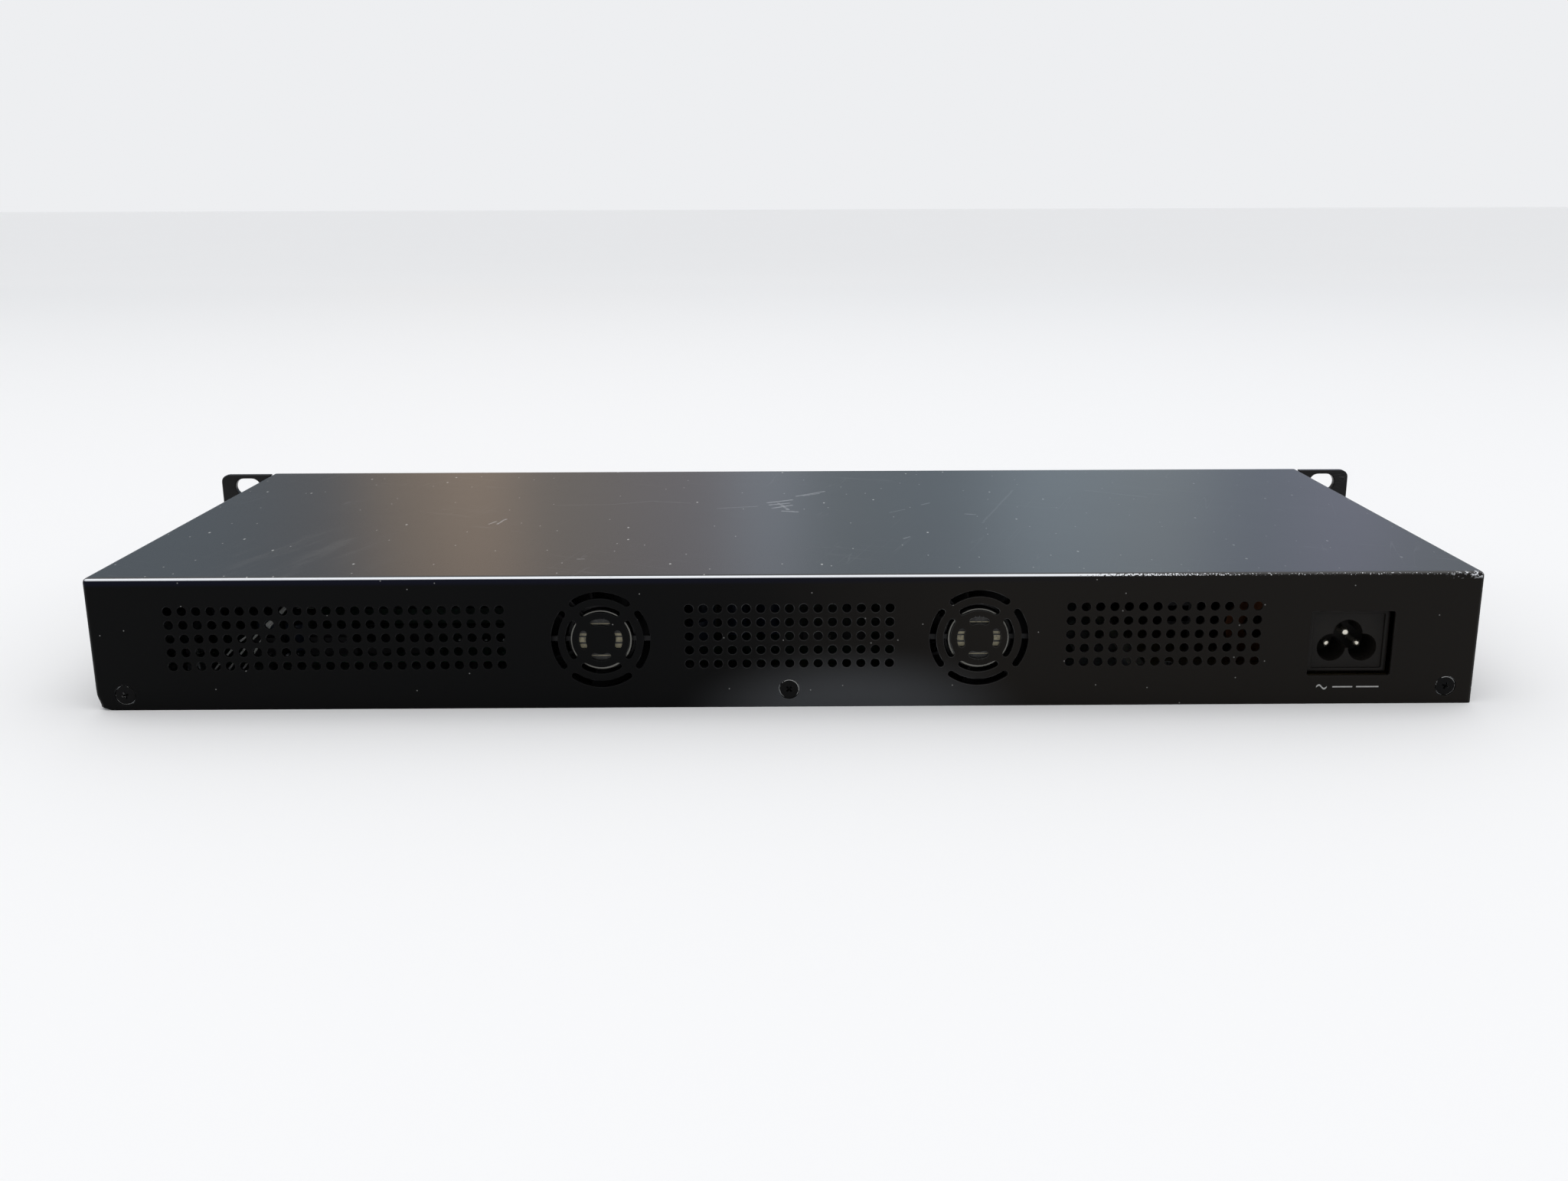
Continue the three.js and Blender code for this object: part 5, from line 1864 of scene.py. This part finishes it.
@dataclass
class Fascia:
    """The moulded front, with its printed port numbers."""

    half_width: float = 218.7
    low: float = 0.2
    high: float = 42.2
    back: float = 85.3
    front: float = 87.3
    gap: float = 0.3
    base: float = 7.9
    jack_top: float = 21.3
    lan_middles: Point = (-32.0, -96.0)
    lan_width: float = 57.15
    console: float = 14.0
    console_width: float = 15.15
    usb: float = 34.0
    usb_width: float = 13.4
    usb_top: float = 23.5
    reset: Point = (49.0, 12.0)
    reset_radius: float = 1.5
    lights: tuple[float, ...] = (62.0, 68.0, 74.0, 80.0, 86.0, 92.0)
    light_height: float = 24.0
    light_size: float = 2.2
    numeral_height: float = 2.5

    def _hole(self, middle: float, width: float, low: float, high: float) -> Rectangle:
        """Gives an opening, its clearance added."""
        half = width / 2 + self.gap
        return Rectangle((middle - half, low - self.gap), (middle + half, high + self.gap), 0.35, 3)

    def _numerals(self) -> None:
        """Prints the port numbers above the network sockets."""
        form = Form()
        places = [-117.0, -103.0, -89.0, -75.0, -53.0, -39.0, -25.0, -11.0]
        for number, x in enumerate(reversed(places), 1):
            curve = bpy.data.curves.new("numeral", "FONT")
            curve.body = str(number)
            curve.size = self.numeral_height * 1.4
            curve.align_x = "CENTER"
            curve.extrude = 0.02
            holder = bpy.data.objects.new("numeral", curve)
            mesh = holder.to_mesh()
            part = bmesh.new()
            part.from_mesh(mesh)
            holder.to_mesh_clear()
            bpy.data.objects.remove(holder)
            bpy.data.curves.remove(curve)
            facing = Matrix(((-1, 0, 0, x), (0, 0, 1, self.front + 0.015), (0, 1, 0, 24.4), (0, 0, 0, 1)))
            bmesh.ops.remove_doubles(part, verts=part.verts[:], dist=1e-4)
            form.take(part, facing)
        form.hand_over("port_numerals", Look.INK)

    def build(self) -> None:
        """Makes the front and its print."""
        low, high = (-self.half_width, self.low), (self.half_width, self.high)
        outline = Rectangle(low, high, corners=(0.1, 0.1, 0.8, 0.8))
        holes: list[Outline] = [self._hole(x, self.lan_width, self.base, self.jack_top) for x in self.lan_middles]
        holes.append(self._hole(self.console, self.console_width, self.base, self.jack_top))
        holes.append(self._hole(self.usb, self.usb_width, self.base, self.usb_top))
        holes.append(Circle(self.reset, self.reset_radius + self.gap, 28))
        half = self.light_size / 2
        holes += [
            self._hole(x, self.light_size, self.light_height - half, self.light_height + half) for x in self.lights
        ]
        form = Form().plate(outline, holes, self.back, self.front, chamfer=0.3)
        form.hand_over("front_moulding", Look.FASCIA, replaces=["front_fascia"])
        self._numerals()


# ---------------------------------------------------------------- boards
@dataclass
class BoardParts:
    """The small parts that crowd the main board, some of them seen through the vents."""

    top: float = 7.6

    def _cans(self) -> None:
        """Makes the smoothing capacitors beside the processor and behind the vents."""
        form = Form()
        places = [(-178, -46, 4.0, 9.5), (-168, -47, 4.0, 9.5), (-30, -30, 5.0, 12), (-18, -30, 5.0, 12)]
        places += [(-30, -44, 4.0, 9.0), (-6, -30, 5.0, 12), (60, -40, 4.0, 9.0), (72, -40, 4.0, 9.0)]
        for x, y, r, h in places:
            profile = [(0, 0), (r - 0.3, 0), (r, 0.3), (r, 1.3), (r - 0.35, 1.7), (r, 2.1), (r, h - 0.5), (r - 0.5, h)]
            profile += [(r - 0.9, h), (r - 1.0, h - 0.15), (0, h - 0.15)]
            form.turned(profile, (x, y, self.top), Plane.FLOOR, 28)
        # painted shade: the cans' aluminium tops take the dark sleeve colour too, so the vents in front read dark
        form.hand_over("board_capacitors", Look.SLEEVE)

    def _chokes(self) -> None:
        """Makes the square shielded coils."""
        form = Form()
        for x, y in ((-150, -50), (-138, -50), (-126, -50), (10, -40), (24, -40), (-60, -46), (-72, -46)):
            form.block((x - 4.5, y - 4.5, self.top), (x + 4.5, y + 4.5, self.top + 4.6), 0.7, 3)
        form.hand_over("board_coils", Look.CHIP)

    def _connectors(self) -> None:
        """Makes the pale pin headers near the back edge."""
        form = Form()
        pins = Form()
        for x, y, count in ((-182, -54.5, 4), (-163, -54.5, 6), (-96, -53, 3), (40, -53, 3), (82, -20, 8)):
            width = 2.0 * count + 2.2
            form.plate(
                Rectangle((x, y), (x + width, y + 5.2), 0.3, 2),
                [Rectangle((x + 0.7, y + 0.7), (x + width - 0.7, y + 4.5), 0.2, 2)],
                self.top,
                self.top + 6.2,
                Plane.FLOOR,
                0.15,
            )
            form.block((x + 0.1, y + 0.1, self.top), (x + width - 0.1, y + 5.1, self.top + 1.4), 0.1, 1)
            for index in range(count):
                across = x + 2.1 + 2.0 * index
                pins.block((across - 0.3, y + 2.3, self.top), (across + 0.3, y + 2.9, self.top + 5.2), 0.12, 1)
        form.hand_over("board_headers", Look.CHIP)
        pins.hand_over("board_header_pins", Look.PIN)

    def _leads(self) -> None:
        """Makes the pale leads that climb behind the left vents and run forward under the cover."""
        form = Form()
        for start, lean in ((-186.0, 0.0), (-181.4, 0.5), (-176.8, 1.0)):
            points = [(start - 4, -73.5, 5.0), (start, -74, 10.0), (start + 4.5 - lean, -74.2, 14.7)]
            points += [(start + 9 - 2.4 * lean, -74, 19.5), (-168.4 + lean, -73.5, 24), (-163.6 + lean, -72, 28.9)]
            points += [(-159 + lean, -68, 33.5), (-164 + lean, -50, 38), (-178 + lean, -20, 35), (-182 + lean, -1, 22)]
            form.wire([*points, (-182 + lean, 4, 9.5)], 0.36)
        form.block((-192, -78, 1.8), (-177, -71.5, 6.4), 0.4)
        form.block((-185.5, 1.5, 7.7), (-178, 6.5, 11.5), 0.4)
        form.hand_over("board_leads", Look.LEAD)

    def _chips(self) -> None:
        """Makes the packaged chips with their legs."""
        form = Form()
        legs = Form()
        for x, y, w, d in ((-150, 44, 14, 14), (-96, 50, 12, 12), (-32, 50, 12, 12), (40, 20, 17, 17), (-150, -20, 8, 6)):
            z = self.top
            form.block((x - w / 2, y - d / 2, z + 0.25), (x + w / 2, y + d / 2, z + 1.5), 0.25, 2)
            for side in (-1, 1):
                for index in range(int(w / 1.1)):
                    across = x - w / 2 + 1.0 + index * 1.1
                    reach = sorted((y + side * d / 2, y + side * (d / 2 + 1.1)))
                    legs.block((across - 0.2, reach[0], z), (across + 0.2, reach[1], z + 0.3), 0)
        form.hand_over("board_chips", Look.CHIP)
        legs.hand_over("board_chip_legs", Look.BRIGHT_SCREW)

    def _chip_rows(self) -> None:
        """Makes rows of tiny surface parts with plated ends."""
        bodies = Form()
        for row, (x0, y, count) in enumerate(((-118, -40, 9), (-40, 36, 12), (-150, 60, 10), (30, 50, 8), (-176, -58 + 2, 5))):
            for index in range(count):
                x = x0 + index * 3.1
                bodies.block((x, y, self.top), (x + 0.9, y + 1.8, self.top + 0.6 + 0.1 * (row % 2)), 0.1, 1)
        bodies.hand_over("board_small_parts", Look.ALUMINIUM)

    def build(self) -> None:
        """Makes the small parts in order."""
        self._cans()
        self._chokes()
        self._connectors()
        self._leads()
        self._chips()
        self._chip_rows()


class Carried(Enum):
    """Frame pieces whose shape stays, and the finish that each one gets."""

    TRAY = (Look.TRAY, ("base_tray",))
    LIGHT = (Look.WINDOW, ("status_light_pipe",))
    BRACKETS = (Look.TRAY, ("fan_left_bracket", "fan_right_bracket"))
    LEADS = (Look.CABLE, ("fan_left_cable", "fan_right_cable", "dc_cable"))
    BRIGHT = (
        Look.BRIGHT_SCREW,
        (
            *(f"fan_{side}_screw_{i}" for side in ("left", "right") for i in (1, 2)),
            *(f"psu_screw_{i}" for i in range(1, 5)),
            *(f"board_screw_{i}" for i in range(1, 5)),
        ),
    )
    POWER = (Look.POWER_BOARD, ("psu_board",))
    MAIN = (Look.MAIN_BOARD, ("main_board", "memory_module"))
    INSULATION = (Look.INSULATOR, ("psu_insulator",))
    COILS = (Look.TAPE, ("psu_transformer",))
    CHOKE = (Look.COPPER, ("psu_choke",))
    # painted shade: the heatsinks darkened to read as dark as the shade inside the box
    COOLERS = (Look.ANODISED, ("psu_heatsink", "processor_heatsink"))
    CANS = (Look.SLEEVE, ("psu_bulk_capacitor", "psu_output_capacitor"))
    CHIPS = (Look.CHIP, ("processor", "reset_button", "reset_switch"))
    CELL = (Look.PIN, ("coin_cell",))

    def dress(self, nodes: dict[str, bpy.types.Object]) -> None:
        """Gives the pieces their finish.

        Args:
            nodes: The frame's pieces, by name.
        """
        look, names = self.value
        for name in names:
            slots = nodes[name].material_slots
            if not slots:
                nodes[name].data.materials.append(look.material())
            for place in slots:
                place.material = look.material()
            LOG.info("%s keeps its shape and is finished as %s", name, look.value.name)


# ---------------------------------------------------------------- stage
@dataclass
class Studio:
    """The pale floor, the soft lights and the camera, in metres."""

    focal_share: float = 1891.11 / 2048
    sensor: float = 36.0
    eye: tuple[float, float, float] = (0.00119, -0.52536, 0.15951)
    yaw: float = 0.00689
    pitch: float = 0.24602
    roll: float = -0.00328
    shift: Point = (-0.00960, -0.02171)
    floor_reach: float = 14.0
    bands: tuple[tuple[float, Colour], ...] = (
        (0.18, (0.27, 0.32, 0.37)),
        (0.25, (0.27, 0.29, 0.32)),
        (0.30, (0.57, 0.47, 0.39)),
        (0.335, (0.76, 0.60, 0.48)),
        (0.375, (0.46, 0.42, 0.39)),
        (0.45, (0.45, 0.43, 0.46)),
        (0.49, (0.58, 0.64, 0.74)),
        (0.525, (0.37, 0.43, 0.48)),
        (0.58, (0.35, 0.42, 0.49)),
        (0.64, (0.54, 0.65, 0.75)),
        (0.70, (0.53, 0.61, 0.68)),
        (0.75, (0.38, 0.44, 0.54)),
        (0.80, (0.47, 0.50, 0.64)),
        (0.86, (0.37, 0.42, 0.48)),
    )
    band_fade: tuple[float, float, float] = (300.0, 760.0, 0.60)

    def _emission(self, name: str, colour: Wire | Colour, strength: float) -> bpy.types.Material:
        """Gives a glowing material."""
        kit = NodeKit(name)
        value = colour if isinstance(colour, Wire) else (*colour, 1.0)
        glow = kit.node("ShaderNodeEmission", {}, {"Color": value, "Strength": strength}).out()
        kit.node("ShaderNodeOutputMaterial", {}, {"Surface": glow})
        return kit.material

    def _stage_mesh(self, name: str, bm: bmesh.types.BMesh, material: bpy.types.Material) -> bpy.types.Object:
        """Adds a stage piece."""
        mesh = bpy.data.meshes.new(name)
        bm.to_mesh(mesh)
        bm.free()
        mesh.materials.append(material)
        piece = bpy.data.objects.new(name, mesh)
        bpy.context.scene.collection.objects.link(piece)
        return piece

    def _floor(self) -> None:
        """Lays the pale floor."""
        kit = NodeKit("pale_floor")
        cloud = kit.noise(400, 2)
        tone = kit.blend(cloud * 0.4, (0.92, 0.92, 0.92), (0.90, 0.90, 0.905))
        material = kit.surface(Base_Color=tone, Roughness=0.7 + cloud * 0.1, Specular_IOR_Level=0.2)
        bm = bmesh.new()
        bmesh.ops.create_grid(bm, x_segments=4, y_segments=4, size=self.floor_reach)
        self._stage_mesh("floor", bm, material)

    def _band_panel(self) -> None:
        """Hangs the soft panel behind the unit, whose tinted bands show in the gloss of its top."""
        kit = NodeKit("light_panel")
        across, _, up = kit.axes()
        share = (across + 1800.0) * (1 / 3600.0)
        low, high, least = self.band_fade
        strength = up.ramp(low, high) * (1.08 - least) + least
        ramp = kit.node("ShaderNodeValToRGB", {"stops": self.bands}, {0: share})
        ramp.node.color_ramp.interpolation = "EASE"
        glow = kit.node("ShaderNodeEmission", {}, {"Color": ramp.out("Color"), "Strength": strength}).out()
        kit.node("ShaderNodeOutputMaterial", {}, {"Surface": glow})
        bm = bmesh.new()
        place = Matrix.Translation((0, 2.2, 0.80)) @ Matrix.Rotation(math.radians(90), 4, "X")
        bmesh.ops.create_grid(bm, x_segments=1, y_segments=1, size=0.5, matrix=place @ Matrix.Diagonal((3.6, 1.5, 1, 1)))
        panel = self._stage_mesh("light_panel", bm, kit.material)
        panel.visible_camera = False
        panel.visible_diffuse = False
        panel.visible_shadow = False

    def _lights(self) -> None:
        """Hangs the overhead soft lights."""
        rows = (
            ("overhead", (0.0, -0.1, 1.9), (0, 0, 0), (2.6, 1.6), 9.0, (1.0, 0.99, 0.98)),
            ("front_fill", (0.3, -2.4, 1.1), (68, 0, 0), (1.6, 0.8), 1.5, (0.97, 0.98, 1.0)),
        )
        for name, place, turn, size, power, colour in rows:
            light = bpy.data.lights.new(name, "AREA")
            light.shape = "RECTANGLE"
            light.size, light.size_y = size
            light.energy = power
            light.color = colour
            holder = bpy.data.objects.new(name, light)
            holder.location = place
            holder.rotation_euler = [math.radians(a) for a in turn]
            holder.visible_camera = False
            bpy.context.scene.collection.objects.link(holder)

    def _world(self) -> None:
        """Sets the pale surroundings."""
        world = bpy.data.worlds.new("pale_room")
        world.use_nodes = True
        background = world.node_tree.nodes["Background"]
        background.inputs["Color"].default_value = (0.97, 0.98, 1.0, 1.0)
        background.inputs["Strength"].default_value = 0.88
        bpy.context.scene.world = world
        bpy.context.scene.view_settings.view_transform = "Standard"

    def _camera(self) -> None:
        """Places the camera."""
        cp, sp = math.cos(self.pitch), math.sin(self.pitch)
        cy, sy = math.cos(self.yaw), math.sin(self.yaw)
        ahead = Vector((sy * cp, cy * cp, -sp))
        right = Vector((cy, -sy, 0.0))
        up = right.cross(ahead)
        cr, sr = math.cos(self.roll), math.sin(self.roll)
        axes = (right * cr + up * sr, up * cr - right * sr, -ahead)
        turn = Matrix(axes).transposed().to_4x4()
        lens = bpy.data.cameras.new("camera")
        lens.sensor_fit = "HORIZONTAL"
        lens.sensor_width = self.sensor
        lens.lens = self.sensor * self.focal_share
        lens.shift_x, lens.shift_y = self.shift
        lens.clip_start, lens.clip_end = 0.01, 100.0
        camera = bpy.data.objects.new("camera", lens)
        camera.matrix_world = Matrix.Translation(self.eye) @ turn
        bpy.context.scene.collection.objects.link(camera)
        bpy.context.scene.camera = camera

    def build(self) -> None:
        """Sets the stage in order."""
        self._camera()
        self._floor()
        self._band_panel()
        self._lights()
        self._world()


def main() -> None:
    """Builds the whole appliance round its frame."""
    logging.basicConfig(level=logging.INFO, format="%(name)s: %(message)s")
    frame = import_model()
    Studio().build()
    Cover().build()
    Fasteners().build()
    for side in (-1, 1):
        Ear(side).build()
    Fan("left", -58.6).build()
    Fan("right", 61.1).build()
    MainsInlet().build()
    Fascia().build()
    JackBlock("lan_sockets_a", "lan_port_block_a", -32.0).build()
    JackBlock("lan_sockets_b", "lan_port_block_b", -96.0).build()
    JackBlock("console_socket", "console_port", 14.0, count=1).build()
    StackedUsb().build()
    BoardParts().build()
    for carried in Carried:
        carried.dress(frame["nodes"])
    LOG.info("all pieces are in place")


if __name__ == "__main__":
    main()
